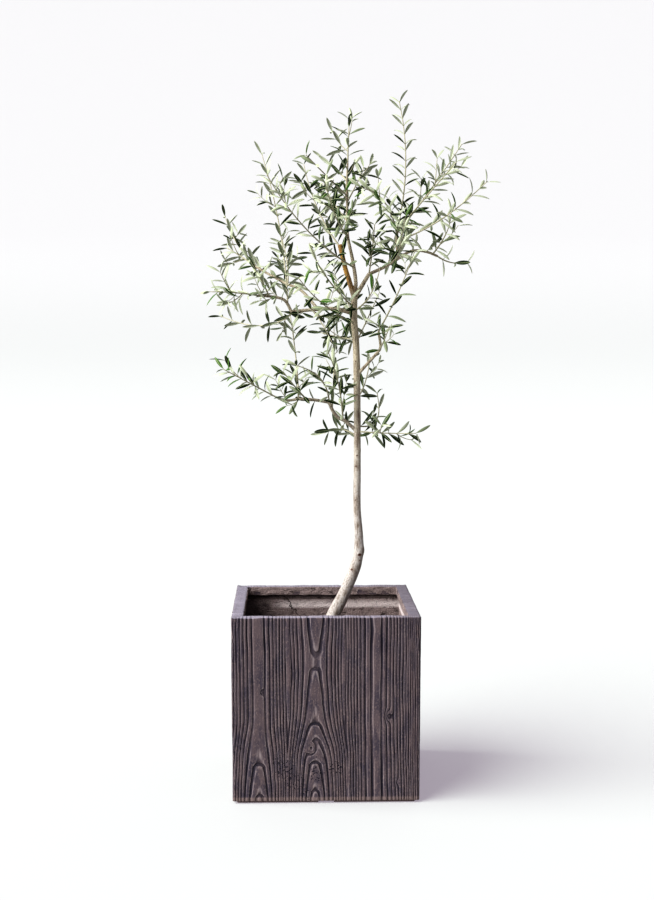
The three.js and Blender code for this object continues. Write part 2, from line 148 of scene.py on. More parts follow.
def take(piece: bpy.types.Object) -> None:
    """Selects a piece alone and makes it the active one.

    Args:
        piece: The piece.
    """
    bpy.ops.object.select_all(action="DESELECT")
    piece.select_set(True)
    bpy.context.view_layer.objects.active = piece


def edit(piece: bpy.types.Object, mode: str = "FACE") -> None:
    """Opens a piece alone in edit mode with nothing selected in it.

    Args:
        piece: The piece.
        mode: What is selected from then on, such as FACE or EDGE.
    """
    take(piece)
    bpy.ops.object.mode_set(mode="EDIT")
    bpy.ops.mesh.select_mode(type=mode)
    bpy.ops.mesh.select_all(action="DESELECT")


def done() -> None:
    """Goes back to object mode."""
    bpy.ops.object.mode_set(mode="OBJECT")


def choose_faces(piece: bpy.types.Object, test: Callable[[bmesh.types.BMFace], bool]) -> None:
    """Selects in edit mode just the faces that pass a test.

    Args:
        piece: The piece that is open.
        test: Tells of a face whether it is wanted.
    """
    shape = bmesh.from_edit_mesh(piece.data)
    for face in shape.faces:
        face.select_set(False)
    for face in [f for f in shape.faces if test(f)]:
        face.select_set(True)
    bmesh.update_edit_mesh(piece.data)


def choose_edges(piece: bpy.types.Object, test: Callable[[Vector, Vector], bool]) -> None:
    """Selects in edit mode just the edges whose two ends pass a test.

    Args:
        piece: The piece that is open.
        test: Tells of two ends whether their edge is wanted.
    """
    shape = bmesh.from_edit_mesh(piece.data)
    for edge in shape.edges:
        edge.select_set(False)
    for edge in [e for e in shape.edges if test(e.verts[0].co, e.verts[1].co)]:
        edge.select_set(True)
    bmesh.update_edit_mesh(piece.data)


def apply_modifier(piece: bpy.types.Object, kind: str, **settings: object) -> None:
    """Gives a piece a modifier and applies it.

    Args:
        piece: What is changed.
        kind: The modifier's type.
        settings: Its values by name.
    """
    take(piece)
    modifier = piece.modifiers.new(kind.lower(), kind)
    for name, value in settings.items():
        setattr(modifier, name, value)
    bpy.ops.object.modifier_apply(modifier=modifier.name)


def new_block(name: str, low: Sequence[float], high: Sequence[float]) -> bpy.types.Object:
    """A cube primitive that fills a box, with its place in its mesh.

    Args:
        name: The piece's name.
        low: The box's lowest corner.
        high: Its highest corner.

    Returns:
        The new piece, alone selected.
    """
    bpy.ops.object.select_all(action="DESELECT")
    middle = [(a + b) / 2 for a, b in zip(low, high)]
    size = [b - a for a, b in zip(low, high)]
    bpy.ops.mesh.primitive_cube_add(size=1, location=middle, scale=size)
    bpy.ops.object.transform_apply(location=True, rotation=True, scale=True)
    piece = bpy.context.active_object
    piece.name = name
    piece.data.name = name
    return piece


def mesh_piece(
    name: str, places: np.ndarray, corners: np.ndarray, tones: np.ndarray | None = None
) -> bpy.types.Object:
    """A joined mesh of four-cornered faces.

    Args:
        name: The piece's name.
        places: All its points, one a row.
        corners: The four points of each face, one face a row.
        tones: The material slot of each face.

    Returns:
        The new piece.
    """
    mesh = bpy.data.meshes.new(name)
    mesh.vertices.add(len(places))
    mesh.vertices.foreach_set("co", places.astype(np.float32).ravel())
    mesh.loops.add(corners.size)
    mesh.loops.foreach_set("vertex_index", corners.astype(np.int32).ravel())
    mesh.polygons.add(len(corners))
    mesh.polygons.foreach_set("loop_start", np.arange(0, corners.size, 4, dtype=np.int32))
    mesh.polygons.foreach_set("use_smooth", np.ones(len(corners), bool))
    if tones is not None:
        mesh.polygons.foreach_set("material_index", tones.astype(np.int32))
    mesh.update(calc_edges=True)
    mesh.validate()
    piece = bpy.data.objects.new(name, mesh)
    bpy.context.scene.collection.objects.link(piece)
    return piece


def settle(piece: bpy.types.Object, nodes: Sequence[str]) -> None:
    """Seats a finished piece on the body, in place of its solids, and reports it.

    Args:
        piece: The finished piece.
        nodes: The solids that it stands for.
    """
    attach(piece, BODY)
    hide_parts(*nodes)
    triangles = sum(len(face.vertices) - 2 for face in piece.data.polygons)
    log.info("%s: %d triangles, stands for %s", piece.name, triangles, ", ".join(nodes))


# Finishes


class Value:
    """A socket that takes part in sums: an expression on values adds its Math nodes."""

    def __init__(self, graph: "Graph", socket: bpy.types.NodeSocket) -> None:
        """Args: graph is the node tree that the socket is in, and socket is an output in it."""
        self.graph = graph
        self.socket = socket

    def _math(self, operation: str, *terms: "Value | float") -> "Value":
        """Adds one Math node."""
        return self.graph.value("ShaderNodeMath", {"operation": operation}, dict(enumerate(terms)))

    def __add__(self, other: "Value | float") -> "Value":
        """Sum."""
        return self._math("ADD", self, other)

    __radd__ = __add__

    def __sub__(self, other: "Value | float") -> "Value":
        """Difference."""
        return self._math("SUBTRACT", self, other)

    def __rsub__(self, other: "Value | float") -> "Value":
        """Difference the other way round."""
        return self._math("SUBTRACT", other, self)

    def __mul__(self, other: "Value | float") -> "Value":
        """Product."""
        return self._math("MULTIPLY", self, other)

    __rmul__ = __mul__

    def nearness(self) -> "Value":
        """How far the number is from the nearest whole number, from 0 to 0.5."""
        return self._math("ABSOLUTE", self - self._math("ROUND", self))

    def rise(self, low: float, high: float, start: float = 0.0, end: float = 1.0) -> "Value":
        """A soft step.

        Args:
            low: Where the step starts.
            high: Where it ends.
            start: What it gives below low.
            end: What it gives above high.

        Returns:
            The stepped value.
        """
        sockets = {"Value": self, "From Min": low, "From Max": high, "To Min": start, "To Max": end}
        return self.graph.value("ShaderNodeMapRange", {"interpolation_type": "SMOOTHSTEP"}, sockets)


class Graph:
    """The node tree of a new material."""

    def __init__(self, name: str) -> None:
        """Args: name is the material's name."""
        self.material = bpy.data.materials.new(name)
        self.material.use_nodes = True
        self.tree = self.material.node_tree
        self.tree.nodes.clear()

    def node(self, kind: str, settings: dict | None = None, inputs: dict | None = None) -> bpy.types.Node:
        """Adds one node.

        Args:
            kind: The node's type.
            settings: Its own settings by name, set first.
            inputs: Values or links of its sockets, by name or number.

        Returns:
            The new node.
        """
        made = self.tree.nodes.new(kind)
        for name, setting in (settings or {}).items():
            setattr(made, name, setting)
        for name, given in (inputs or {}).items():
            if isinstance(given, Value):
                self.tree.links.new(given.socket, made.inputs[name])
            else:
                made.inputs[name].default_value = given
        return made

    def value(
        self, kind: str, settings: dict | None = None, inputs: dict | None = None, output: str | int = 0
    ) -> Value:
        """Adds one node and gives one of its outputs."""
        return Value(self, self.node(kind, settings, inputs).outputs[output])

    def places(self) -> Value:
        """The piece's own coordinates."""
        return self.value("ShaderNodeTexCoord", output="Object")

    def along(self, axis: str) -> Value:
        """The piece's own coordinate along X, Y or Z, in metres."""
        return self.value("ShaderNodeSeparateXYZ", inputs={0: self.places()}, output=axis)

    def facing_up(self) -> Value:
        """How much the surface looks upwards."""
        normal = self.value("ShaderNodeNewGeometry", output="Normal")
        return self.value("ShaderNodeSeparateXYZ", inputs={0: normal}, output="Z")

    def kept(self, name: str) -> Value:
        """A number that the piece stores at its corners."""
        return self.value("ShaderNodeAttribute", {"attribute_name": name}, output="Fac")

    def noise(self, scale: Place, detail: float) -> Value:
        """Noise from about 0 to 1.

        Args:
            scale: How many lumps there are in a metre along each axis.
            detail: How many finer layers it has.

        Returns:
            The noise.
        """
        given = {0: self.places(), 1: scale}
        stretched = self.value("ShaderNodeVectorMath", {"operation": "MULTIPLY"}, given)
        return self.value("ShaderNodeTexNoise", inputs={"Vector": stretched, "Scale": 1.0, "Detail": detail})

    def mix(self, share: Value | float, first: Value | Colour, second: Value | Colour) -> Value:
        """Mixes two colours.

        Args:
            share: How much of the second there is.
            first: The first colour.
            second: The second colour.

        Returns:
            The mixed colour.
        """
        tones = [tone if isinstance(tone, Value) else (*tone, 1) for tone in (first, second)]
        return self.value("ShaderNodeMix", {"data_type": "RGBA"}, {0: share, 6: tones[0], 7: tones[1]}, 2)

    def bump(self, relief: Value, depth: float) -> Value:
        """A surface that is raised by some height where a value is 1."""
        return self.value("ShaderNodeBump", inputs={"Height": relief, "Distance": depth, "Strength": 1.0})

    def shade(
        self, colour: Value | Colour, roughness: Value | float, **sockets: object
    ) -> bpy.types.Material:
        """Adds the shader and the output.

        Args:
            colour: Base colour.
            roughness: Roughness.
            sockets: Other sockets of the shader, with _ for a space.

        Returns:
            The material.
        """
        given = {name.replace("_", " "): value for name, value in sockets.items()}
        tone = colour if isinstance(colour, Value) else (*colour, 1)
        given |= {"Base Color": tone, "Roughness": roughness}
        shader = self.value("ShaderNodeBsdfPrincipled", inputs=given)
        self.node("ShaderNodeOutputMaterial", inputs={"Surface": shader})
        return self.material


@dataclass(frozen=True)
class PlainFinish:
    """One even colour, such as a leaf's face."""

    name: str
    colour: Colour
    roughness: float
    shine: float = 0.2

    def material(self) -> bpy.types.Material:
        """The finish as a material."""
        return Graph(self.name).shade(self.colour, self.roughness, Specular_IOR_Level=self.shine)


@dataclass(frozen=True)
class GrainFinish:
    """Stained wood-grain relief: dark blue-grey grooves between worn brown ridges."""

    groove: Colour = (0.0125, 0.0115, 0.02)
    stain: Colour = (0.051, 0.043, 0.056)
    ridge: Colour = (0.099, 0.076, 0.08)
    worn: Colour = (0.165, 0.127, 0.119)
    # Pale edge of each groove: partly wear, partly a painted highlight where the ridge edges catch the light
    wear_and_highlight: Colour = (0.3, 0.255, 0.25)
    # The rim's own plain lavender grey, made paler as a painted sheen of the light on its top
    rim: Colour = (0.226, 0.21, 0.249)
    streaks: Place = (420, 420, 14)
    patches: Place = (46, 46, 20)
    specks: Place = (330, 330, 240)
    pits: Place = (320, 320, 300)
    rubbed_band: Span = (0.011, 0.016)
    rim_from: Span = (0.39, 0.395)
    # How much painted shade darkens the rim top towards the right
    painted_shade_to_right: float = 0.4
    relief: float = 0.0026

    def material(self) -> bpy.types.Material:
        """Makes the finish.

        Returns:
            The material.
        """
        graph = Graph("grained_cast")
        near = graph.kept("rings").nearness()
        groove = near.rise(0.09, 0.2, 1, 0) * graph.kept("strength")
        # Pale band along both sides of each groove: worn edges and a painted highlight
        wear_and_highlight = near.rise(0.17, 0.22) * near.rise(0.25, 0.33, 1, 0)
        streaks = graph.noise(self.streaks, 4)
        patches = graph.noise(self.patches, 5)
        specks = graph.noise(self.specks, 3)
        pits = graph.noise(self.pits, 0).rise(0.66, 0.69) * graph.kept("pitted").rise(0.15, 0.5)
        tone = graph.mix(patches.rise(0.3, 0.64), self.stain, self.ridge)
        tone = graph.mix(streaks.rise(0.5, 0.66) * 0.5, tone, self.stain)
        tone = graph.mix(specks.rise(0.52, 0.66) * 0.55, tone, self.worn)
        tone = graph.mix(wear_and_highlight * streaks.rise(0.38, 0.56) * 0.5, tone, self.wear_and_highlight)
        height = graph.along("Z")
        low = height.rise(*self.rubbed_band, 0.85, 0)
        on_rim = graph.facing_up().rise(0.7, 0.95) * height.rise(*self.rim_from)
        # Painted shade: the rim top is painted darker towards the right
        top = on_rim * (1 - graph.along("X").rise(0, 0.2) * self.painted_shade_to_right)
        top = top * specks.rise(0.36, 0.6, 1.0, 0.6)
        rubbed = graph.mix(low, tone, self.worn)
        tone = graph.mix(groove * (1 - top * 0.9) * (1 - low * 0.75), rubbed, self.groove)
        # The rim top's colour, partly its own plain grey and partly a painted sheen
        tone = graph.mix(top, tone, self.rim)
        tone = graph.mix(pits, tone, self.groove)
        relief = 1 - groove + streaks * 0.25 + specks * 0.22 + patches * 0.2 - pits
        bumped = graph.bump(relief, self.relief)
        return graph.shade(tone, 0.55 + groove * 0.3, Normal=bumped, Specular_IOR_Level=0.15)


@dataclass(frozen=True)
class CastFinish:
    """The planter's rough inside: pale fibrous cast with brown swirls, and painted light and shade on its
    back wall.

    The lit and the dark bands are heights in metres: the lit band is painted light, the dark band under the
    lip is painted shade, and the wall is darker towards the soil. Across the back wall, places tell where
    the painted light fades and where the left wall's painted shadow lies, and the crease is where a slanting
    line through that wall has its zero; its dark line is partly painted shade.
    """

    pale: Colour = (0.68, 0.61, 0.59)
    brown: Colour = (0.25, 0.198, 0.187)
    dark: Colour = (0.035, 0.026, 0.024)
    swirls: Place = (70, 70, 110)
    fibres: Place = (420, 420, 330)
    lit_from: Span = (0.345, 0.3525)
    lit_to: Span = (0.3545, 0.372)
    # Where the painted light band fades towards the left, across the back wall
    shaded: Span = (-0.128, -0.075)
    # Where the left wall's painted shadow lies, across the back wall
    left_wall_shadow: Span = (-0.14, -0.11)
    # The painted shade in the recess under the lip, as heights
    under_lip_shade: Span = (0.366, 0.371)
    lip_foot: Span = (0.3785, 0.38)
    sunk: Span = (0.306, 0.326)
    crease_slant: Span = (0.797, 0.603)
    crease_offset: float = 0.1708
    crease_wander: float = 0.03
    crease_from: Span = (0.328, 0.334)
    crease_to: Span = (0.374, 0.378)
    relief: float = 0.007

    def material(self) -> bpy.types.Material:
        """Makes the finish.

        Returns:
            The material.
        """
        graph = Graph("rough_cast")
        swirl = graph.noise(self.swirls, 6)
        fibres = graph.noise(self.fibres, 5)
        height = graph.along("Z")
        across = graph.along("X")
        wall = height.rise(*self.lip_foot, 1, 0)
        lit = height.rise(*self.lit_from) * height.rise(*self.lit_to, 1, 0)
        tone = graph.mix(swirl.rise(0.22, 0.5), self.dark, self.brown)
        # Painted light: a paler band where light reaches the back wall, fading at the left where the left
        # wall's shadow falls
        light = lit * across.rise(*self.shaded, 0.1, 1) * swirl.rise(0.25, 0.5, 0.6, 1)
        tone = graph.mix(light * 0.85, tone, self.pale)
        tone = graph.mix(fibres.rise(0.54, 0.7) * 0.4, tone, self.pale)
        tone = graph.mix(fibres.rise(0.3, 0.42, 0.6, 0), tone, self.dark)
        tone = graph.mix(height.rise(*self.sunk, 0.75, 0), tone, self.dark)
        # Painted shade in the recess under the lip
        tone = graph.mix(wall * height.rise(*self.under_lip_shade, 0, 0.6), tone, self.dark)
        # Painted shadow of the left wall on the left end of the back wall
        tone = graph.mix(wall * across.rise(*self.left_wall_shadow, 0.4, 0), tone, self.dark)
        slant = across * self.crease_slant[0] + height * self.crease_slant[1]
        from_crease = slant + swirl * self.crease_wander - self.crease_offset
        crease = from_crease.rise(-0.0026, -0.0006) * from_crease.rise(0.0004, 0.002, 1, 0)
        crease = crease * height.rise(*self.crease_from) * height.rise(*self.crease_to, 1, 0)
        # The crease is cut in by the bump and painted darker along its line as its shade
        tone = graph.mix(crease * 0.85, tone, self.dark)
        bumped = graph.bump(swirl * 0.8 + fibres - crease, self.relief)
        return graph.shade(tone, 0.85, Normal=bumped, Specular_IOR_Level=0.12)


@dataclass(frozen=True)
class SoilFinish:
    """Moist dark compost."""

    dark: Colour = (0.02, 0.013, 0.009)
    brown: Colour = (0.075, 0.046, 0.028)
    lumps: Place = (120, 120, 120)
    crumbs: Place = (600, 600, 600)
    relief: float = 0.003

    def material(self) -> bpy.types.Material:
        """Makes the finish.

        Returns:
            The material.
        """
        graph = Graph("compost")
        lumps = graph.noise(self.lumps, 6)
        crumbs = graph.noise(self.crumbs, 4)
        tone = graph.mix(lumps.rise(0.4, 0.7) * 0.6 + crumbs.rise(0.5, 0.7) * 0.4, self.dark, self.brown)
        bumped = graph.bump(lumps + crumbs * 0.5, self.relief)
        return graph.shade(tone, 0.95, Normal=bumped, Specular_IOR_Level=0.1)


@dataclass(frozen=True)
class BarkFinish:
    """Young bark: beige-grey below, tan above, ochre on the pruned shoot, dark scars."""

    grey: Colour = (0.365, 0.34, 0.314)
    tan: Colour = (0.41, 0.362, 0.252)
    ochre: Colour = (0.38, 0.22, 0.05)
    olive: Colour = (0.22, 0.205, 0.14)
    dark: Colour = (0.14, 0.1, 0.07)
    scar: Colour = (0.07, 0.03, 0.018)
    patches: Place = (55, 55, 26)
    fissures: Place = (620, 620, 60)
    pores: Place = (420, 420, 900)
    specks: Place = (300, 300, 380)
    relief: float = 0.0012

    def material(self) -> bpy.types.Material:
        """Makes the finish.

        Returns:
            The material.
        """
        graph = Graph("young_bark")
        patches = graph.noise(self.patches, 4)
        fissures = graph.noise(self.fissures, 4)
        pores = graph.noise(self.pores, 2)
        specks = graph.noise(self.specks, 3)
        tone = graph.mix(graph.kept("tan"), self.grey, self.tan)
        tone = graph.mix(graph.kept("ochre"), tone, self.ochre)
        tone = graph.mix(graph.kept("olive"), tone, self.olive)
        darker = patches.rise(0.46, 0.68) * 0.55 + fissures.rise(0.52, 0.66) * 0.45
        tone = graph.mix(darker, tone, self.dark)
        tone = graph.mix(specks.rise(0.5, 0.66) * 0.5, tone, self.dark)
        tone = graph.mix(pores.rise(0.62, 0.7) * 0.6, tone, self.grey)
        tone = graph.mix(graph.kept("scar").rise(0.1, 0.6), tone, self.scar)
        relief = 1 - fissures.rise(0.5, 0.75) + patches * 0.4 + pores * 0.3 - specks * 0.5
        bumped = graph.bump(relief, self.relief)
        return graph.shade(tone, 0.7, Normal=bumped, Specular_IOR_Level=0.2)


@dataclass(frozen=True)
class PaperFinish:
    """White paper with a faint glow of its own, stronger up its wall, as under lights of its own."""

    colour: Colour = (0.257, 0.283, 0.253)
    glow: Colour = (0.92, 0.81, 0.95)
    wall_glow: Colour = (1.29, 1.17, 1.31)
    wall_from: Span = (0.84, 1.5)
    glow_strength: float = 0.28

    def material(self) -> bpy.types.Material:
        """Makes the finish.

        Returns:
            The material.
        """
        graph = Graph("paper")
        glow = graph.mix(graph.along("Z").rise(*self.wall_from), self.glow, self.wall_glow)
        lit = {"Emission_Color": glow, "Emission_Strength": self.glow_strength}
        return graph.shade(self.colour, 1.0, Specular_IOR_Level=0.0, **lit)


# Planter


@dataclass(frozen=True)
class Figure:
    """A cathedral figure in the grain: rings cut at a depth that changes with height.

    axis is its middle line in millimetres across the face, depths are the depth of the cut, in
    rings, at shares of the face's height, and spread says how much its arches widen downwards.
    """

    axis: float
    depths: tuple[Span, ...]
    spread: float = 0.35


@dataclass(frozen=True)
class Knot:
    """A knot that bends the grain round it: its place and size in millimetres, and its rings."""

    across: float
    up: float
    size: float
    rings: float


@dataclass(frozen=True)
class Face:
    """The grain of one of the planter's faces, with patches of pits and of faded grain.

    A patch is its place across and up and its size, in millimetres.
    """

    seed: int
    figures: tuple[Figure, ...]
    knots: tuple[Knot, ...] = ()
    pits: tuple[Place, ...] = ((60, 300, 30),)
    faded: tuple[Place, ...] = ()


@dataclass
class Planter:
    """The square cast planter: grained outside, plain rim, rough inside with a lip.

    Its own sizes are in metres, and what shapes the grain is in millimetres or, where a ring is
    named, in rings. even_over is where, above and below, a figure's depth is read to even it out.
    """

    side: float = 0.4
    height: float = 0.4
    foot: float = 0.005
    foot_inset: float = 0.009
    notch: float = 0.033
    notch_depth: float = 0.04
    draft: float = 0.002
    rim: float = 0.026
    lip: float = 0.021
    wall: float = 0.019
    inside_depth: float = 0.13
    corner: float = 0.0045
    edge: float = 0.0016
    ring: float = 0.0074
    groove: float = 0.0022
    groove_fade: float = 0.7
    groove_edge: Span = (0.04, 0.28)
    rim_groove: float = 0.0004
    wave: float = 0.0005
    chipping: float = 0.0013
    rim_wear: float = 0.0011
    roughness: float = 0.0012
    lip_sag: float = 0.0018
    even_over: tuple[float, ...] = (-0.1, -0.07, -0.03, 0.03, 0.07, 0.1)
    figure_core: float = 15.0
    figure_reach: float = 55.0
    spread_from: Span = (0.46, 0.24)
    figure_blend: float = 3.0
    fine_from: float = 30.0
    fineness: float = 0.0035
    ring_wander: float = 0.22
    grained: GrainFinish = field(default_factory=GrainFinish)
    cast: CastFinish = field(default_factory=CastFinish)
    faces: tuple[Face, ...] = (
        Face(
            seed=3,
            figures=(
                Figure(-24, (
                    (0, 0.45), (0.06, 0.8), (0.075, 1.2), (0.21, 1.8), (0.225, 2.2), (0.335, 2.8),
                    (0.35, 3.2), (0.42, 3.8), (0.432, 4.2), (0.6, 4.5), (0.71, 4.76), (0.735, 5.14),
                    (0.785, 5.14), (0.825, 4.78), (0.9, 4.66), (1, 4.4),
                )),
                Figure(-141, (
                    (0, 0.8), (0.035, 0.85), (0.05, 1.2), (0.2, 1.8), (0.215, 2.2), (0.3, 2.4),
                    (0.6, 2.6), (0.8, 2.45), (1, 2.55),
                )),
                Figure(105, (
                    (0, 2.5), (0.3, 2.55), (0.45, 2.45), (0.6, 2.6), (0.85, 2.6), (0.93, 2.7), (1, 2.6),
                ), spread=0),
            ),
            knots=(
                Knot(-30, 118, 9, 1.3), Knot(131, 187, 7, 1.5), Knot(-136, 240, 4, 0.6),
                Knot(151, 44, 4, 0.6),
            ),
            pits=((-92, 80, 22), (-68, 50, 20), (-20, 62, 16), (20, 74, 14), (-40, 20, 12)),
            faded=((-24, 304, 11),),
        ),
        Face(
            seed=5,
            figures=(
                Figure(60, ((0, 4.8), (0.18, 4), (0.4, 3), (0.52, 2), (0.7, 1), (1, 0.4))),
                Figure(-95, ((0, 2.6), (0.5, 2.75), (1, 2.5))),
            ),
            knots=(Knot(-120, 260, 8, 1.4), Knot(62, 300, 7, 1)),
        ),
        Face(
            seed=7,
            figures=(
                Figure(-60, ((0, 0.6), (0.2, 1.5), (0.45, 3), (0.6, 4), (1, 5.4))),
                Figure(120, ((0, 2.4), (0.4, 2.7), (1, 2.5))),
            ),
            knots=(Knot(-58, 70, 8, 1.2), Knot(90, 300, 6, 1.3)),
        ),
        Face(
            seed=9,
            figures=(
                Figure(20, ((0, 2.7), (0.3, 2.3), (0.5, 2.8), (1, 2.4))),
                Figure(-130, ((0, 5.2), (0.3, 4), (0.55, 3), (0.8, 1.6), (1, 0.9))),
                Figure(150, ((0, 1.2), (0.4, 2.4), (1, 3.6))),
            ),
            knots=(Knot(70, 150, 8, 1.4),),
        ),
    )

    def build(self) -> None:
        """Makes the planter and its foot."""
        body = self._block()
        self._divide(body)
        self._carve(body)
        body.data.materials.append(self.grained.material())
        body.data.materials.append(self.cast.material())
        self._finish_faces(body)
        settle(body, ["pot"])
        foot = self._stand()
        foot.data.materials.append(body.data.materials[0])
        settle(foot, ["pot"])

    def _block(self) -> bpy.types.Object:
        """Makes the plain hollow block with its rim, lip and rounded edges.

        Returns:
            The piece.
        """
        half = self.side / 2
        body = new_block("planter", (-half, -half, self.foot), (half, half, self.height))
        edit(body)
        choose_faces(body, lambda face: face.normal.z > 0.5)
        bpy.ops.mesh.inset(thickness=self.rim)
        bpy.ops.mesh.extrude_region_move(TRANSFORM_OT_translate={"value": (0, 0, -self.lip)})
        bpy.ops.mesh.extrude_region_move(TRANSFORM_OT_translate={"value": (0, 0, 0)})
        mouth = half - self.rim
        wider = (half - self.wall) / mouth
        bpy.ops.transform.resize(value=(wider, wider, 1), center_override=(0, 0, self.height - self.lip))
        down = self.inside_depth - self.lip
        bpy.ops.mesh.extrude_region_move(TRANSFORM_OT_translate={"value": (0, 0, -down)})
        choose_faces(body, lambda face: face.normal.z < -0.5 and face.calc_center_median().z < 0.01)
        shrink = 1 - self.draft / half
        bpy.ops.transform.resize(value=(shrink, shrink, 1), center_override=(0, 0, self.foot))
        bpy.ops.mesh.select_mode(type="EDGE")
        edge_of_outside = half - 2 * self.draft
        choose_edges(body, lambda a, b: abs(a.z - b.z) > 0.3)
        bpy.ops.mesh.bevel(offset=self.corner, segments=3, affect="EDGES")
        choose_edges(body, lambda a, b: self._level(a, b) and self._reach(a, b) > edge_of_outside)
        bpy.ops.mesh.bevel(offset=self.edge, segments=2, affect="EDGES")
        choose_edges(body, lambda a, b: self._level(a, b) and abs(self._reach(a, b) - mouth) < 0.001)
        bpy.ops.mesh.bevel(offset=self.edge, segments=2, affect="EDGES")
        done()
        return body

    @staticmethod
    def _level(a: Vector, b: Vector) -> bool:
        """True for an edge that is level."""
        return abs(a.z - b.z) < 1e-5

    @staticmethod
    def _reach(a: Vector, b: Vector) -> float:
        """How far an edge lies from the planter's middle, measured square to a face."""
        return min(max(abs(a.x), abs(a.y)), max(abs(b.x), abs(b.y)))

    def _divide(self, body: bpy.types.Object) -> None:
        """Cuts the walls into a fine net that can take the relief.

        Args:
            body: The plain planter.
        """
        edit(body)
        below = self.height - self.lip
        choose_faces(body, lambda face: face.normal.z > 0.5 and face.calc_center_median().z < below)
        bpy.ops.mesh.poke()
        bpy.ops.mesh.select_mode(type="EDGE")

        def along_a_face(a: Vector, b: Vector) -> bool:
            """True for a long level edge that runs along one of the faces."""
            return self._level(a, b) and max(abs(a.x - b.x), abs(a.y - b.y)) > 0.3

        choose_edges(body, along_a_face)
        bpy.ops.mesh.subdivide(number_cuts=99)
        step = self.side / 100
        choose_edges(
            body,
            lambda a, b: self._level(a, b) and 0.8 * step < (a - b).length < 1.01 * step
            and min(abs(a.x - b.x), abs(a.y - b.y)) < 1e-5,
        )
        bpy.ops.mesh.subdivide(number_cuts=1)
        choose_edges(body, lambda a, b: abs(a.z - b.z) > 0.3)
        bpy.ops.mesh.subdivide(number_cuts=85)
        choose_edges(body, lambda a, b: 0.05 < abs(a.z - b.z) < 0.2)
        bpy.ops.mesh.subdivide(number_cuts=11)
        choose_edges(body, lambda a, b: 0.012 < abs(a.z - b.z) < 0.04 and self._reach(a, b) < 0.18)
        bpy.ops.mesh.subdivide(number_cuts=4)
        top = self.height - 0.0005
        choose_edges(body, lambda a, b: 0.015 < (a - b).length < 0.05 and min(a.z, b.z) > top)
        bpy.ops.mesh.subdivide(number_cuts=5)
        done()

    def _rings(self, face: Face, across: np.ndarray, up: np.ndarray) -> np.ndarray:
        """The grain's rings on a face: whole numbers are the middles of its grooves.

        Args:
            face: The face's grain.
            across: Millimetres to the right of its middle line.
            up: Millimetres above its lower edge.

        Returns:
            One number for each place.
        """
        ring = self.ring / MM
        flat = np.stack([across, up, np.full(len(across), 100.0 * face.seed)], axis=1)
        lumps = Lumps(face.seed)
        bent = across + 3.4 * lumps.at(flat, (70, 190, 1)) + 0.9 * lumps.at(flat, (24, 46, 1))
        share = up / (self.height / MM)
        for figure in face.figures:
            inside = np.exp(-(((across - figure.axis) / self.figure_reach) ** 2))
            widening = figure.spread * smooth(*self.spread_from, share) * inside
            bent = bent - (bent - figure.axis) * widening
        away = []
        for figure in face.figures:
            marks, depths = zip(*figure.depths)
            cut = np.interp(share, marks, depths)
            even = np.mean([np.interp(share + off, marks, depths) for off in self.even_over], axis=0)
            core = np.exp(-(((bent - figure.axis) / self.figure_core) ** 2))
            away.append(np.hypot(bent - figure.axis, (even + (cut - even) * core) * ring))
        blend = self.figure_blend
        distance = -blend * np.log(sum(np.exp(-a / blend) for a in away))
        for knot in face.knots:
            from_knot = np.hypot(across - knot.across, (up - knot.up) / 1.5)
            distance = distance + knot.rings * ring * np.exp(-((from_knot / knot.size) ** 2))
        finer = 1 + self.fineness * np.maximum(distance - self.fine_from, 0)
        return distance / ring * finer + self.ring_wander * lumps.at(flat[:, [0, 2, 1]], (19, 1, 400))

    def _carve(self, body: bpy.types.Object) -> None:
        """Cuts the grain into the outside, roughens the inside and stores the rings.

        Args:
            body: The planter as a fine net.
        """
        places = points_of(body)
        reach = np.max(np.abs(places[:, :2]), axis=1)
        half = self.side / 2
        outside = reach > half - self.rim + self.edge / 2
        rings = np.zeros(len(places))
        strength = np.zeros(len(places))
        pitted = np.zeros(len(places))
        push = np.zeros((len(places), 3))
        x, y, z = places.T
        turns = ((-y, x, (0, -1)), (x, y, (1, 0)), (y, -x, (0, 1)), (-x, -y, (-1, 0)))
        for face, (towards, across, normal) in zip(self.faces, turns):
            mine = outside & (towards >= reach - 1e-6) & (strength == 0)
            a, u = across[mine] / MM, z[mine] / MM
            found = self._rings(face, a, u)
            lumps = Lumps(face.seed + 1)
            flat = np.stack([np.round(found) * 7.3, u, a * 0], axis=1)
            power = 0.72 + 0.28 * lumps.at(flat, (3, 70, 1))
            for at, rise, size in face.faded:
                from_patch = np.hypot(a - at, (u - rise) / 1.8) / size
                power *= 1 - self.groove_fade * np.exp(-(from_patch**2))
            rings[mine] = found
            for at, rise, size in face.pits:
                near_pits = np.exp(-((np.hypot(a - at, u - rise) / size) ** 2))
                pitted[mine] = np.maximum(pitted[mine], near_pits)
            strength[mine] = power
            near = np.abs(found - np.round(found))
            cut = 1 - smooth(*self.groove_edge, near)
            from_corner = half - np.abs(across[mine])
            to_corner = smooth(0, 0.004, from_corner)
            on_face = smooth(half - 0.006, half - 0.003, towards[mine])
            coarse = lumps.at(np.stack([a, u, a * 0], axis=1), (60, 90, 1))
            chips = np.maximum(lumps.at(np.stack([np.sign(a) * 9, u, a * 0], axis=1), (1, 7, 1)), -0.2)
            dent = self.chipping * (0.3 + chips) * smooth(0.012, 0.001, from_corner) * np.sign(a)
            depth = self.groove * power * cut * to_corner - self.wave * coarse
            push[mine, 0] = -normal[0] * depth * on_face
            push[mine, 1] = -normal[1] * depth * on_face
            push[mine, 0] += normal[1] * dent
            push[mine, 1] -= normal[0] * dent
            on_rim = smooth(self.height - 0.004, self.height - 0.0005, z[mine])
            across_rim = smooth(half - self.rim, half - self.rim + 0.012, towards[mine])
            push[mine, 2] = -self.rim_groove * power * cut * on_rim * across_rim
        inner = Lumps(21)
        rough = ~outside & (z < self.height - 0.001)
        facing = normals_of(body)
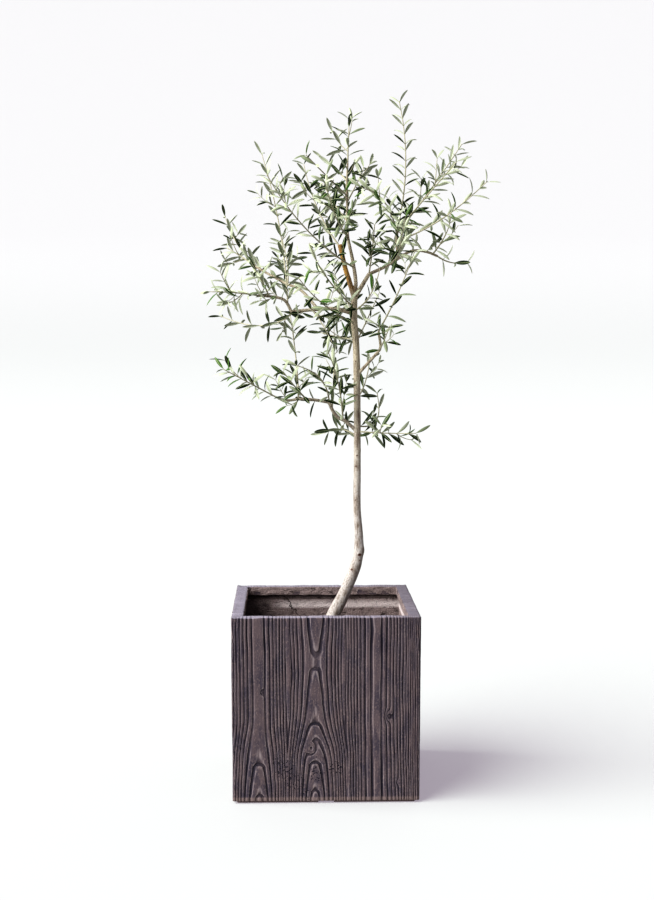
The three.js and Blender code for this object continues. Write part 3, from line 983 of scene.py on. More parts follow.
        lumpy = inner.at(places, (0.03, 0.03, 0.012)) + 0.6 * inner.at(places, (0.011, 0.011, 0.006))
        push[rough] = facing[rough] * (self.roughness * lumpy[rough])[:, None]
        on_lip = rough & (np.abs(z - self.height + self.lip) < 0.002)
        push[on_lip, 2] += self.lip_sag * inner.at(places[on_lip], (0.014, 0.014, 1))
        uneven = inner.at(places, (0.026, 0.026, 1)) + 0.5 * inner.at(places, (0.009, 0.009, 1))
        push[:, 2] -= self.rim_wear * (1 + uneven) * smooth(self.height - 0.004, self.height - 0.0005, z)
        move_points(body, places + push)
        keep_numbers(body, "rings", rings)
        keep_numbers(body, "strength", strength)
        keep_numbers(body, "pitted", pitted)

    def _finish_faces(self, body: bpy.types.Object) -> None:
        """Smooths the net and gives the inside its own finish.

        Args:
            body: The carved planter.
        """
        mouth = self.side / 2 - self.rim
        hollow = self.side / 2 - self.wall
        for face in body.data.polygons:
            middle = face.center
            reach = max(abs(middle.x), abs(middle.y))
            inside = reach < hollow + 0.0005 and self.foot + 0.01 < middle.z < self.height - self.lip + 0.001
            on_lip = reach < mouth + 0.0006 and middle.z > self.height - 2 * self.lip
            face.material_index = 1 if inside or on_lip else 0
            face.use_smooth = True
        take(body)
        bpy.ops.object.shade_smooth_by_angle(angle=math.radians(50))

    def _stand(self) -> bpy.types.Object:
        """Makes the foot that is set in under the planter, with a notch in each side.

        Returns:
            The piece.
        """
        half = self.side / 2 - self.draft - self.foot_inset
        foot = new_block("planter_foot", (-half, -half, 0), (half, half, self.foot + 0.001))
        edit(foot, "EDGE")
        choose_edges(foot, lambda a, b: abs(a.z - b.z) > self.foot / 2)
        bpy.ops.mesh.bevel(offset=self.corner, segments=3, affect="EDGES")
        done()
        for turn in range(4):
            angle = turn * math.pi / 2
            out = Vector((math.sin(angle), -math.cos(angle), 0))
            wide = Vector((abs(out.y), abs(out.x), 0)) * self.notch / 2
            deep = Vector((abs(out.x), abs(out.y), 0)) * self.notch_depth
            rise = Vector((0, 0, 2 * self.foot))
            cutter = new_block("cutter", out * half - wide - deep - rise, out * half + wide + deep + rise)
            apply_modifier(foot, "BOOLEAN", operation="DIFFERENCE", object=cutter, solver="EXACT")
            bpy.data.objects.remove(cutter)
        keep_numbers(foot, "rings", np.full(len(foot.data.vertices), 0.5))
        keep_numbers(foot, "strength", np.zeros(len(foot.data.vertices)))
        return foot


# Soil


@dataclass
class Soil:
    """The compost in the planter, with crumbs and chips of bark on it."""

    level: float = 0.3
    half: float = 0.1795
    skirt: float = 0.02
    cuts: int = 90
    crumbs: int = 700
    crumb: Span = (0.0015, 0.0048)
    lowest: float = 0.0025
    relief: float = 0.0032

    @staticmethod
    def _swells(lumps: Lumps, places: np.ndarray) -> np.ndarray:
        """The larger swells of the surface, on which the crumbs lie, for places in metres."""
        return lumps.at(places, (0.05, 0.05, 1)) + 0.7 * lumps.at(places, (0.016, 0.016, 1))

    def build(self) -> None:
        """Makes the lumpy surface and the crumbs on it."""
        bpy.ops.object.select_all(action="DESELECT")
        cuts = {"x_subdivisions": self.cuts, "y_subdivisions": self.cuts}
        bpy.ops.mesh.primitive_grid_add(size=2 * self.half, location=(0, 0, self.level), **cuts)
        bpy.ops.object.transform_apply(location=True, rotation=True, scale=True)
        ground = bpy.context.active_object
        ground.name = "compost"
        edit(ground)
        choose_faces(ground, lambda face: True)
        bpy.ops.mesh.extrude_region_move(TRANSFORM_OT_translate={"value": (0, 0, -self.skirt)})
        bpy.ops.mesh.select_all(action="SELECT")
        bpy.ops.mesh.normals_make_consistent(inside=False)
        done()
        places = points_of(ground)
        top = places[:, 2] > self.level - self.skirt / 2
        lumps = Lumps(31)
        height = self._swells(lumps, places) + 0.5 * lumps.at(places, (0.006, 0.006, 1))
        places[top, 2] += self.relief * height[top] - self.lowest
        move_points(ground, places)
        bpy.ops.object.shade_smooth()
        ground.data.materials.append(SoilFinish().material())
        settle(ground, ["soil"])
        crumbs = self._crumbs(lumps)
        crumbs.data.materials.append(ground.data.materials[0])
        settle(crumbs, ["soil"])

    def _crumbs(self, lumps: Lumps) -> bpy.types.Object:
        """Many small blocks strewn over the surface, as one mesh.

        Args:
            lumps: The noise that the surface is raised by.

        Returns:
            The piece.
        """
        dice = np.random.default_rng(33)
        corner = np.array(list(np.ndindex(2, 2, 2))) - 0.5
        sides = np.array(
            [[0, 1, 3, 2], [4, 6, 7, 5], [0, 4, 5, 1], [2, 3, 7, 6], [0, 2, 6, 4], [1, 5, 7, 3]]
        )
        places, corners = [], []
        for number in range(self.crumbs):
            middle = dice.uniform(-self.half + 0.006, self.half - 0.006, 2)
            size = dice.uniform(*self.crumb) * dice.uniform(0.6, 1.4, 3)
            turn = Euler(dice.uniform(0, 6.28, 3)).to_matrix()
            block = (corner * size * dice.uniform(0.75, 1.2, (8, 3))) @ np.array(turn)
            rise = self.relief * self._swells(lumps, np.array([[*middle, self.level]]))[0]
            places.append(block + [*middle, self.level - self.lowest + rise + size.min() * 0.3])
            corners.append(sides + 8 * number)
        made = mesh_piece("compost_crumbs", np.concatenate(places), np.concatenate(corners))
        made.data.polygons.foreach_set("use_smooth", np.zeros(len(made.data.polygons), bool))
        return made


# Growth


class Draw:
    """A repeatable stream of numbers from 0 to 1, the same as the solids grow by."""

    WORD = 2**32
    STEP = 0x6D2B79F5

    def __init__(self, seed: int) -> None:
        """Args: seed starts the stream."""
        self.state = seed % self.WORD

    def __call__(self) -> float:
        """Draws the next number.

        Returns:
            A number from 0 to 1.
        """
        self.state = (self.state + self.STEP) % self.WORD
        mixed = (self.state ^ (self.state >> 15)) * (self.state | 1) % self.WORD
        mixed ^= (mixed + (mixed ^ (mixed >> 7)) * (mixed | 61)) % self.WORD
        return (mixed ^ (mixed >> 14)) / self.WORD

    def between(self, low: float, high: float) -> float:
        """The next number, from low to high."""
        return low + (high - low) * self()


class Route:
    """A curve as a row of points that can be asked for a place at a share of its length."""

    def __init__(self, points: np.ndarray) -> None:
        """Args: points are the row, close together."""
        self.points = points
        steps = np.linalg.norm(np.diff(points, axis=0), axis=1)
        self.marks = np.concatenate([[0], np.cumsum(steps)])
        self.length = float(self.marks[-1])

    def at(self, share: float | np.ndarray) -> np.ndarray:
        """The place at a share of the length."""
        mark = np.asarray(share) * self.length
        return np.stack([np.interp(mark, self.marks, self.points[:, i]) for i in range(3)], axis=-1)

    def heading(self, share: float) -> np.ndarray:
        """The direction at a share of the length.

        Args:
            share: The share, from 0 to 1.

        Returns:
            The direction, one long.
        """
        nudge = 0.01
        step = self.at(min(share + nudge, 1)) - self.at(max(share - nudge, 0))
        return step / np.linalg.norm(step)

    def spaced(self, step: float) -> np.ndarray:
        """Evenly spaced points, about a step apart."""
        count = max(2, round(self.length / step))
        return self.at(np.linspace(0, 1, count + 1))

    @staticmethod
    def through(bends: np.ndarray) -> "Route":
        """A smooth curve through all the bends, with tangents that suit uneven spacing.

        Args:
            bends: The places that it runs through, one a row.

        Returns:
            The curve.
        """
        first = 2 * bends[0] - bends[1]
        last = 2 * bends[-1] - bends[-2]
        row = np.vstack([first, bends, last])
        made = []
        for i in range(1, len(row) - 2):
            p0, p1, p2, p3 = row[i - 1 : i + 3]
            d0, d1, d2 = (math.sqrt(np.linalg.norm(b - a)) for a, b in ((p0, p1), (p1, p2), (p2, p3)))
            leave = ((p1 - p0) / d0 - (p2 - p0) / (d0 + d1) + (p2 - p1) / d1) * d1
            arrive = ((p2 - p1) / d1 - (p3 - p1) / (d1 + d2) + (p3 - p2) / d2) * d1
            t = np.linspace(0, 1, 24, endpoint=False)[:, None]
            made.append(
                (2 * t**3 - 3 * t**2 + 1) * p1 + (t**3 - 2 * t**2 + t) * leave
                + (3 * t**2 - 2 * t**3) * p2 + (t**3 - t**2) * arrive
            )
        return Route(np.vstack([*made, bends[-1:]]))

    @staticmethod
    def by_knee(foot: np.ndarray, knee: np.ndarray, tip: np.ndarray) -> "Route":
        """One simple curve.

        Args:
            foot: Where it starts.
            knee: What it runs through half way.
            tip: Where it ends.

        Returns:
            The curve.
        """
        pull = 2 * knee - foot / 2 - tip / 2
        t = np.linspace(0, 1, 33)[:, None]
        return Route((1 - t) ** 2 * foot + 2 * t * (1 - t) * pull + t**2 * tip)


def square_to(axis: np.ndarray, angle: float) -> np.ndarray:
    """A unit direction square to an axis.

    Args:
        axis: The axis, one long.
        angle: How far the direction is turned about it.

    Returns:
        The direction.
    """
    level = np.array([0, 0, 1.0]) if abs(axis[2]) < 0.9 else np.array([1.0, 0, 0])
    across = np.cross(axis, level)
    across /= np.linalg.norm(across)
    return across * math.cos(angle) + np.cross(axis, across) * math.sin(angle)


@dataclass(frozen=True)
class Limb:
    """The trunk or a bough: its name, the bends it runs through and its radii, in millimetres."""

    name: str
    bends: tuple[Place, ...]
    foot: float = 0.0
    tip: float = 0.0

    def route(self) -> Route:
        """Its curve."""
        return Route.through(np.array(self.bends, float))

    def radius(self, share: np.ndarray, height: np.ndarray) -> np.ndarray:
        """Its radius at shares of its length and their heights, as the trunk's goes by height."""
        return trunk_radius(height) if self.name == "trunk" else self.foot + (self.tip - self.foot) * share


@dataclass(frozen=True)
class Mass:
    """A mass of foliage: how far along its limb it leaves, its stem's knee and tip, its side twigs.

    reach is the length of its lowest twig, and spacing is how much wider than usual the pairs of
    leaves on its stem are set, and how much rarer its twigs.
    """

    name: str
    along: float
    knee: Place
    tip: Place
    twigs: int
    reach: float
    spacing: float = 1.0


# The trunk's radius at some heights
TRUNK_GIRTH = (
    (300, 25), (318, 18), (345, 15), (430, 12.6), (490, 11.2), (508, 11), (540, 9.2), (610, 8), (770, 7.3),
    (965, 6.9), (1035, 7.4), (1082, 6),
)

LIMBS = (
    Limb("trunk", (
        (-20, 0, 270), (-7, 0, 300), (23, 0, 370), (51, 0, 427), (74, 0, 488), (78, 0, 530), (74, 0, 605),
        (74, 0, 770), (71, 0, 965), (66, 0, 1030), (68, 0, 1082),
    )),
    Limb("middle_leader", (
        (68, 0, 1080), (70, 0, 1104), (63, 0, 1154), (52, 0, 1208),
        (51, 0, 1273), (50, 0, 1314), (52, 0, 1365),
    ), 4, 1.8),
    Limb("pruned_stub", ((68, 0, 1066), (57, 0, 1104), (48, 0, 1132), (35, 0, 1187)), 5.2, 4.8),
    Limb("right_bough", ((67, 0, 1070), (78, 0, 1088), (99, 0, 1123)), 4.6, 3.9),
    Limb("right_bough_outer", (
        (99, 0, 1123), (132, 0, 1138), (160, 0, 1155), (194, 5, 1174), (227, 10, 1172), (251, 15, 1163),
    ), 3.5, 2.4),
    Limb("right_riser", ((160, 0, 1155), (161, 0, 1172), (160, 0, 1197), (161, 0, 1223)), 3, 2.6),
    Limb("left_limb_inner", ((67, 0, 1036), (25, -5, 1047), (-13, -12, 1046), (-72, -24, 1040)), 4.2, 3.4),
    Limb("left_limb_outer", (
        (-72, -24, 1040), (-77, -26, 1052), (-87, -30, 1066), (-108, -35, 1072), (-144, -45, 1075),
    ), 3.2, 2.4),
    Limb("second_left_bough", (
        (-13, -12, 1046), (-52, 30, 1090), (-83, 55, 1104), (-144, 100, 1139), (-160, 112, 1149),
    ), 3, 2.3),
    Limb("low_left_bough_inner", (
        (74, 0, 776), (46, -5, 801), (33, -8, 807), (20, -10, 822), (11, -12, 842),
    ), 3.8, 3.4),
    Limb("low_left_bough_outer", (
        (11, -12, 842), (-24, -18, 848), (-55, -24, 850), (-79, -28, 847), (-101, -32, 852),
    ), 3.2, 2.4),
    Limb("low_right_bough", (
        (72, 0, 900), (95, -8, 926), (116, -15, 950), (123, -20, 960), (118, -40, 998),
    ), 3.3, 2.5),
)

# The masses under the limb that each leaves
MASSES: dict[str, tuple[Mass, ...]] = {
    "middle_leader": (
        Mass("crown_top", 1, (53, 0, 1402), (55, 5, 1444), 2, 60),
        Mass("crown_left_front", 0.75, (12, -60, 1322), (-32, -120, 1358), 2, 65, 1.85),
        Mass("crown_left_back", 0.86, (35, 62, 1350), (7, 130, 1384), 2, 60, 1.55),
        Mass("crown_right_back", 0.7, (77, 60, 1330), (91, 112, 1362), 2, 60, 1.15),
        Mass("crown_back", 0.56, (30, 110, 1280), (5, 215, 1335), 3, 85, 1.4),
        Mass("crown_front", 0.44, (25, -100, 1235), (0, -210, 1292), 2, 80, 1.8),
        Mass("left_fan", 0.2, (-35, -85, 1210), (-115, -150, 1310), 2, 80),
    ),
    "pruned_stub": (Mass("stub_shoot", 0.95, (-10, 45, 1262), (-40, 92, 1358), 2, 75, 1.3),),
    "right_riser": (
        Mass("right_tall_shoot", 1, (179, 5, 1355), (169, 30, 1488), 1, 75, 0.95),
        Mass("right_high", 0.84, (235, 55, 1307), (306, 100, 1407), 2, 80, 0.9),
        Mass("right_high_front", 0.92, (217, -54, 1284), (269, -110, 1345), 2, 70),
        Mass("right_out", 0.6, (242, -90, 1232), (327, -150, 1300), 2, 80, 1.15),
        Mass("right_inward", 0.76, (132, -70, 1268), (85, -140, 1294), 2, 65, 0.85),
    ),
    "right_bough_outer": (
        Mass("right_reach", 1, (277, 25, 1151), (304, 35, 1149), 2, 60, 1.8),
        Mass("right_edge_up", 0.93, (262, -40, 1205), (270, -72, 1240), 2, 60, 1.45),
        Mass("right_back", 0.28, (160, 110, 1180), (200, 220, 1248), 3, 90, 1.7),
        Mass("right_front", 0.4, (160, -95, 1178), (160, -215, 1222), 3, 85, 1.8),
    ),
    "right_bough": (Mass("inner_upright", 1, (105, -5, 1168), (108, -38, 1216), 2, 60),),
    "left_limb_outer": (
        Mass("left_end", 1, (-185, -60, 1080), (-230, -75, 1082), 2, 70, 0.75),
        Mass("left_front_up", 0.72, (-137, -80, 1110), (-155, -125, 1140), 2, 60, 1.1),
        Mass("left_tall", 0.2, (-96, 43, 1220), (-133, 105, 1381), 3, 85, 1.3),
    ),
    "left_limb_inner": (
        Mass("left_hanging", 0.96, (-134, 90, 1011), (-225, 180, 1029), 2, 75, 1.6),
        Mass("centre_hanging", 0.72, (-18, -48, 1034), (10, -100, 984), 2, 60, 2.2),
    ),
    "second_left_bough": (
        Mass("second_left_end", 1, (-180, 126, 1164), (-208, 146, 1182), 2, 55, 1.25),
        Mass("left_back_tall", 0.9, (-193, 172, 1195), (-222, 222, 1255), 2, 70, 1.5),
        Mass("left_back", 0.5, (-80, 145, 1148), (-90, 240, 1205), 3, 85, 1.2),
    ),
    "trunk": (
        Mass("centre_left_front", 0.961, (5, -70, 1112), (-30, -140, 1172), 2, 75, 1.5),
        Mass("centre_front", 0.92, (0, -110, 1052), (-52, -215, 1100), 3, 85, 1.5),
        Mass("centre_back", 0.908, (62, 120, 1050), (42, 240, 1112), 3, 90, 2.1),
        Mass("centre_left_back", 0.877, (35, 50, 985), (3, 112, 993), 2, 60, 2.2),
        Mass("centre_right_front", 0.952, (96, -60, 1072), (114, -112, 1122), 2, 60, 3.6),
        Mass("right_middle_back", 0.867, (97, 50, 1022), (125, 112, 1077), 2, 70, 2.7),
        Mass("low_back", 0.721, (95, 90, 880), (112, 190, 930), 3, 85, 2.8),
        Mass("low_right", 0.648, (117, 45, 796), (125, 84, 845), 2, 60, 1.9),
        Mass("low_right_front", 0.633, (130, -40, 776), (184, -82, 778), 2, 60, 1.2),
        Mass("low_left_back", 0.618, (44, 42, 778), (10, 90, 770), 2, 60),
    ),
    "low_right_bough": (
        Mass("right_middle", 1, (153, -95, 1073), (182, -147, 1152), 2, 75, 1.35),
        Mass("right_middle_front", 0.62, (125, -95, 975), (130, -200, 1005), 2, 75, 4.4),
    ),
    "low_left_bough_inner": (
        Mass("low_left_rise", 0.82, (24, 53, 918), (25, 100, 1015), 2, 80, 1.15),
        Mass("low_left_front", 1, (-6, -65, 892), (-50, -120, 922), 2, 70, 2.6),
        Mass("low_front", 0.45, (30, -75, 882), (8, -150, 948), 2, 75, 1.25),
    ),
    "low_left_bough_outer": (
        Mass("low_left_end", 1, (-152, -45, 880), (-206, -70, 910), 2, 75, 0.8),
        Mass("low_left_tall", 0.6, (-61, 28, 932), (-73, 80, 1027), 2, 70, 1.75),
        Mass("low_left_tuft", 0.45, (-62, -62, 876), (-84, -110, 905), 2, 55, 1.05),
    ),
}
FIRST_SEED = 700

# Where small sprays leave the thin limbs: from and to which share of the length, how many millimetres apart
SPRAYS: dict[str, tuple[float, float, float]] = {
    "middle_leader": (0.3, 0.98, 50),
    "right_bough_outer": (0.35, 0.95, 60),
    "right_riser": (0.1, 0.9, 90),
    "left_limb_inner": (0.6, 0.95, 40),
    "left_limb_outer": (0.1, 0.95, 21),
    "second_left_bough": (0.3, 0.95, 55),
    "low_left_bough_outer": (0.12, 0.95, 30),
}


def trunk_radius(height: np.ndarray | float) -> np.ndarray:
    """The trunk's radius at a height, both in millimetres."""
    return np.interp(height, *zip(*TRUNK_GIRTH))


@dataclass(frozen=True)
class Scar:
    """A knot or a bud on the trunk: its place, its size, how far it stands out and how dark it is."""

    place: Place
    size: float
    rise: float
    dark: float


@dataclass
class Wood:
    """The trunk and the boughs as one mesh with forks that run into each other.

    wrinkle and swelling are shares of a limb's radius. A scar's mound, pit, stain and ring are how
    far these reach, as squares of the scar's size, and the ring has its radius before that.
    """

    voxel: float = 0.0011
    ring_step: float = 6.0
    grown: float = 0.45
    wrinkle: float = 0.022
    swelling: float = 0.045
    mound: float = 0.9
    pit: float = 0.12
    pit_depth: float = 1.4
    stain: float = 0.3
    ring: Span = (1.05, 0.05)
    ring_strength: float = 0.24
    tan_between: Span = (520, 1000)
    tan_share: float = 0.85
    ochre_above: Span = (1078, 1100)
    olive_below: Span = (3.4, 2.2)
    olive_share: float = 0.55
    scars: tuple[Scar, ...] = (
        Scar((86, 0, 512), 11, 1.9, 0.0),
        Scar((79, -8, 503), 7, 1.6, 0.9),
        Scar((79, -9, 490), 3.2, 0.7, 0.9),
        Scar((61, -12, 470), 6, 1.2, 0.95),
        Scar((71, -7, 700), 4, 1.0, 0.95),
        Scar((70, -7, 625), 3.6, 0.8, 0.8),
        Scar((73, -7, 724), 4, 0.7, 0.7),
        Scar((81, -3, 736), 5, 1.8, 0.3),
        Scar((70, -7, 932), 2.6, 0.6, 0.9),
        Scar((72, -7, 858), 2.6, 0.6, 0.9),
        Scar((60, -6, 1062), 3.5, 0.8, 0.5),
        Scar((66, 8, 640), 5, 1.4, 0.5),
        Scar((78, 8, 560), 5, 1.2, 0.6),
        Scar((30, 13, 400), 6, 1.2, 0.5),
    )

    def build(self) -> None:
        """Makes the wood and dresses it."""
        piece = self._limbs()
        apply_modifier(piece, "REMESH", mode="VOXEL", voxel_size=self.voxel)
        apply_modifier(piece, "SMOOTH", factor=0.5, iterations=6)
        self._relief(piece)
        bpy.ops.object.shade_smooth()
        piece.data.materials.clear()
        piece.data.materials.append(BarkFinish().material())
        settle(piece, [limb.name for limb in LIMBS])

    def _limbs(self) -> bpy.types.Object:
        """Every limb as a round curve that thins, made a mesh.

        Returns:
            The piece.
        """
        curve = bpy.data.curves.new("trunk_and_boughs", "CURVE")
        curve.dimensions = "3D"
        curve.bevel_depth = MM
        curve.bevel_resolution = 6
        curve.use_fill_caps = True
        for limb in LIMBS:
            points = limb.route().spaced(self.ring_step)
            radii = limb.radius(np.linspace(0, 1, len(points)), points[:, 2])
            spline = curve.splines.new("POLY")
            spline.points.add(len(points) - 1)
            spline.points.foreach_set("co", np.c_[points * MM, np.ones(len(points))].ravel())
            spline.points.foreach_set("radius", radii)
        made = bpy.data.objects.new("trunk_and_boughs", curve)
        bpy.context.scene.collection.objects.link(made)
        take(made)
        bpy.ops.object.convert(target="MESH")
        return bpy.context.active_object

    def _relief(self, piece: bpy.types.Object) -> None:
        """Raises wrinkles, knots and scars, and stores what the bark's colour goes by.

        Args:
            piece: The smooth wood.
        """
        places = points_of(piece)
        facing = normals_of(piece)
        at = places / MM
        height = at[:, 2]
        thick = self._thickness(at)
        lumps = Lumps(41)
        wrinkle = lumps.at(at, (3.2, 3.2, 17)) + 0.6 * lumps.at(at, (1.8, 1.8, 7))
        swell = lumps.at(at, (16, 16, 42))
        rise = thick * (self.wrinkle * wrinkle + self.swelling * swell)
        scar = np.zeros(len(at))
        for mark in self.scars:
            place = np.array(mark.place, float)
            near = (np.abs(at[:, 0] - place[0]) < 4) & (np.abs(at[:, 2] - place[2]) < 4)
            if abs(place[1]) > 1 and near.any():
                side = np.sign(place[1])
                place[1] = side * np.max(side * at[near, 1])
            away = np.linalg.norm((at - place) * (1, 1, 1.15), axis=1) / mark.size
            rise += mark.rise * np.exp(-(away**2) / self.mound)
            rise -= self.pit_depth * mark.rise * mark.dark * np.exp(-(away**2) / self.pit)
            ring = self.ring_strength * np.exp(-((away - self.ring[0]) ** 2) / self.ring[1])
            stain = np.exp(-(away**2) / self.stain)
            scar = np.maximum(scar, mark.dark * np.maximum(stain, ring))
        move_points(piece, places + facing * ((rise + self.grown) * MM)[:, None])
        keep_numbers(piece, "scar", scar)
        keep_numbers(piece, "tan", smooth(*self.tan_between, height) * self.tan_share)
        stub = next(limb for limb in LIMBS if limb.name == "pruned_stub").route().spaced(8)
        near = np.min(np.linalg.norm(at[:, None, :] - stub[None], axis=2), axis=1)
        keep_numbers(piece, "ochre", smooth(9, 5.5, near) * smooth(*self.ochre_above, height))
        keep_numbers(piece, "olive", self.olive_share * smooth(*self.olive_below, thick))

    @staticmethod
    def _thickness(at: np.ndarray) -> np.ndarray:
        """The radius of the limb that each point lies on, in millimetres.

        Args:
            at: The points, in millimetres.

        Returns:
            One radius for each point.
        """
        best = np.full(len(at), np.inf)
        thick = np.zeros(len(at))
        for limb in LIMBS:
            points = limb.route().spaced(12)
            radii = limb.radius(np.linspace(0, 1, len(points)), points[:, 2])
            for place, radius in zip(points, radii):
                away = np.linalg.norm(at - place, axis=1) / radius
                nearer = away < best
                best[nearer] = away[nearer]
                thick[nearer] = radius
        return thick


@dataclass
class Shoot:
    """A stem, twig or twiglet, in millimetres.

    It has its curve, its radii at foot and tip, the gap between its pairs of leaves, the length of
    a leaf, what starts its draws, and how much of its foot is bare.
    """

    route: Route
    foot: float
    tip: float
    pair_gap: float
    leaf: float
    seed: int
    bare: float


@dataclass
class Stem:
    """The main stem of a mass of foliage."""

    name: str
    limb: str
    seed: int
    route: Route
    twigs: int
    reach: float
    spacing: float


class Space:
    """Tells which places belong to a mass: nearer to its stem than to any other, clear of limbs."""

    STEM_STEP = 60.0
    LIMB_STEP = 26.0
    MARGIN = 1.6
    LIMB_MARGIN = 1.5

    def __init__(self, stems: Sequence[Stem], limbs: Sequence[tuple[Limb, Route]]) -> None:
        """Args: stems and limbs are all that share the crown."""
        rows = [stem.route.spaced(self.STEM_STEP) for stem in stems]
        self.starts = np.vstack([row[:-1] for row in rows])
        self.ends = np.vstack([row[1:] for row in rows])
        self.owner = np.repeat(np.arange(len(rows)), [len(row) - 1 for row in rows])
        self.limbs = [(limb, route.spaced(self.LIMB_STEP)) for limb, route in limbs]

    @staticmethod
    def _away(place: np.ndarray, starts: np.ndarray, ends: np.ndarray) -> np.ndarray:
        """Distances from a place to straight runs.

        Args:
            place: The place.
            starts: Where the runs start, one a row.
            ends: Where they end.

        Returns:
            One distance for each run.
        """
        run = ends - starts
        share = np.einsum("ij,ij->i", place - starts, run) / np.einsum("ij,ij->i", run, run)
        return np.linalg.norm(place - starts - np.clip(share, 0, 1)[:, None] * run, axis=1)

    def clear(self, place: np.ndarray) -> bool:
        """True where a place is clear of every limb.

        Args:
            place: The place.

        Returns:
            Whether it is.
        """
        for limb, row in self.limbs:
            thick = float(trunk_radius(place[2])) if limb.name == "trunk" else limb.foot
            if self._away(place, row[:-1], row[1:]).min() <= thick + self.LIMB_MARGIN:
                return False
        return True

    def holds(self, place: np.ndarray, owner: int) -> bool:
        """True where a place is the owner's own and clear of limbs.

        Args:
            place: The place.
            owner: The number of the mass among all.

        Returns:
            Whether it is.
        """
        away = self._away(place, self.starts, self.ends)
        mine = self.owner == owner
        return bool(away[~mine].min() >= away[mine].min() + self.MARGIN) and self.clear(place)


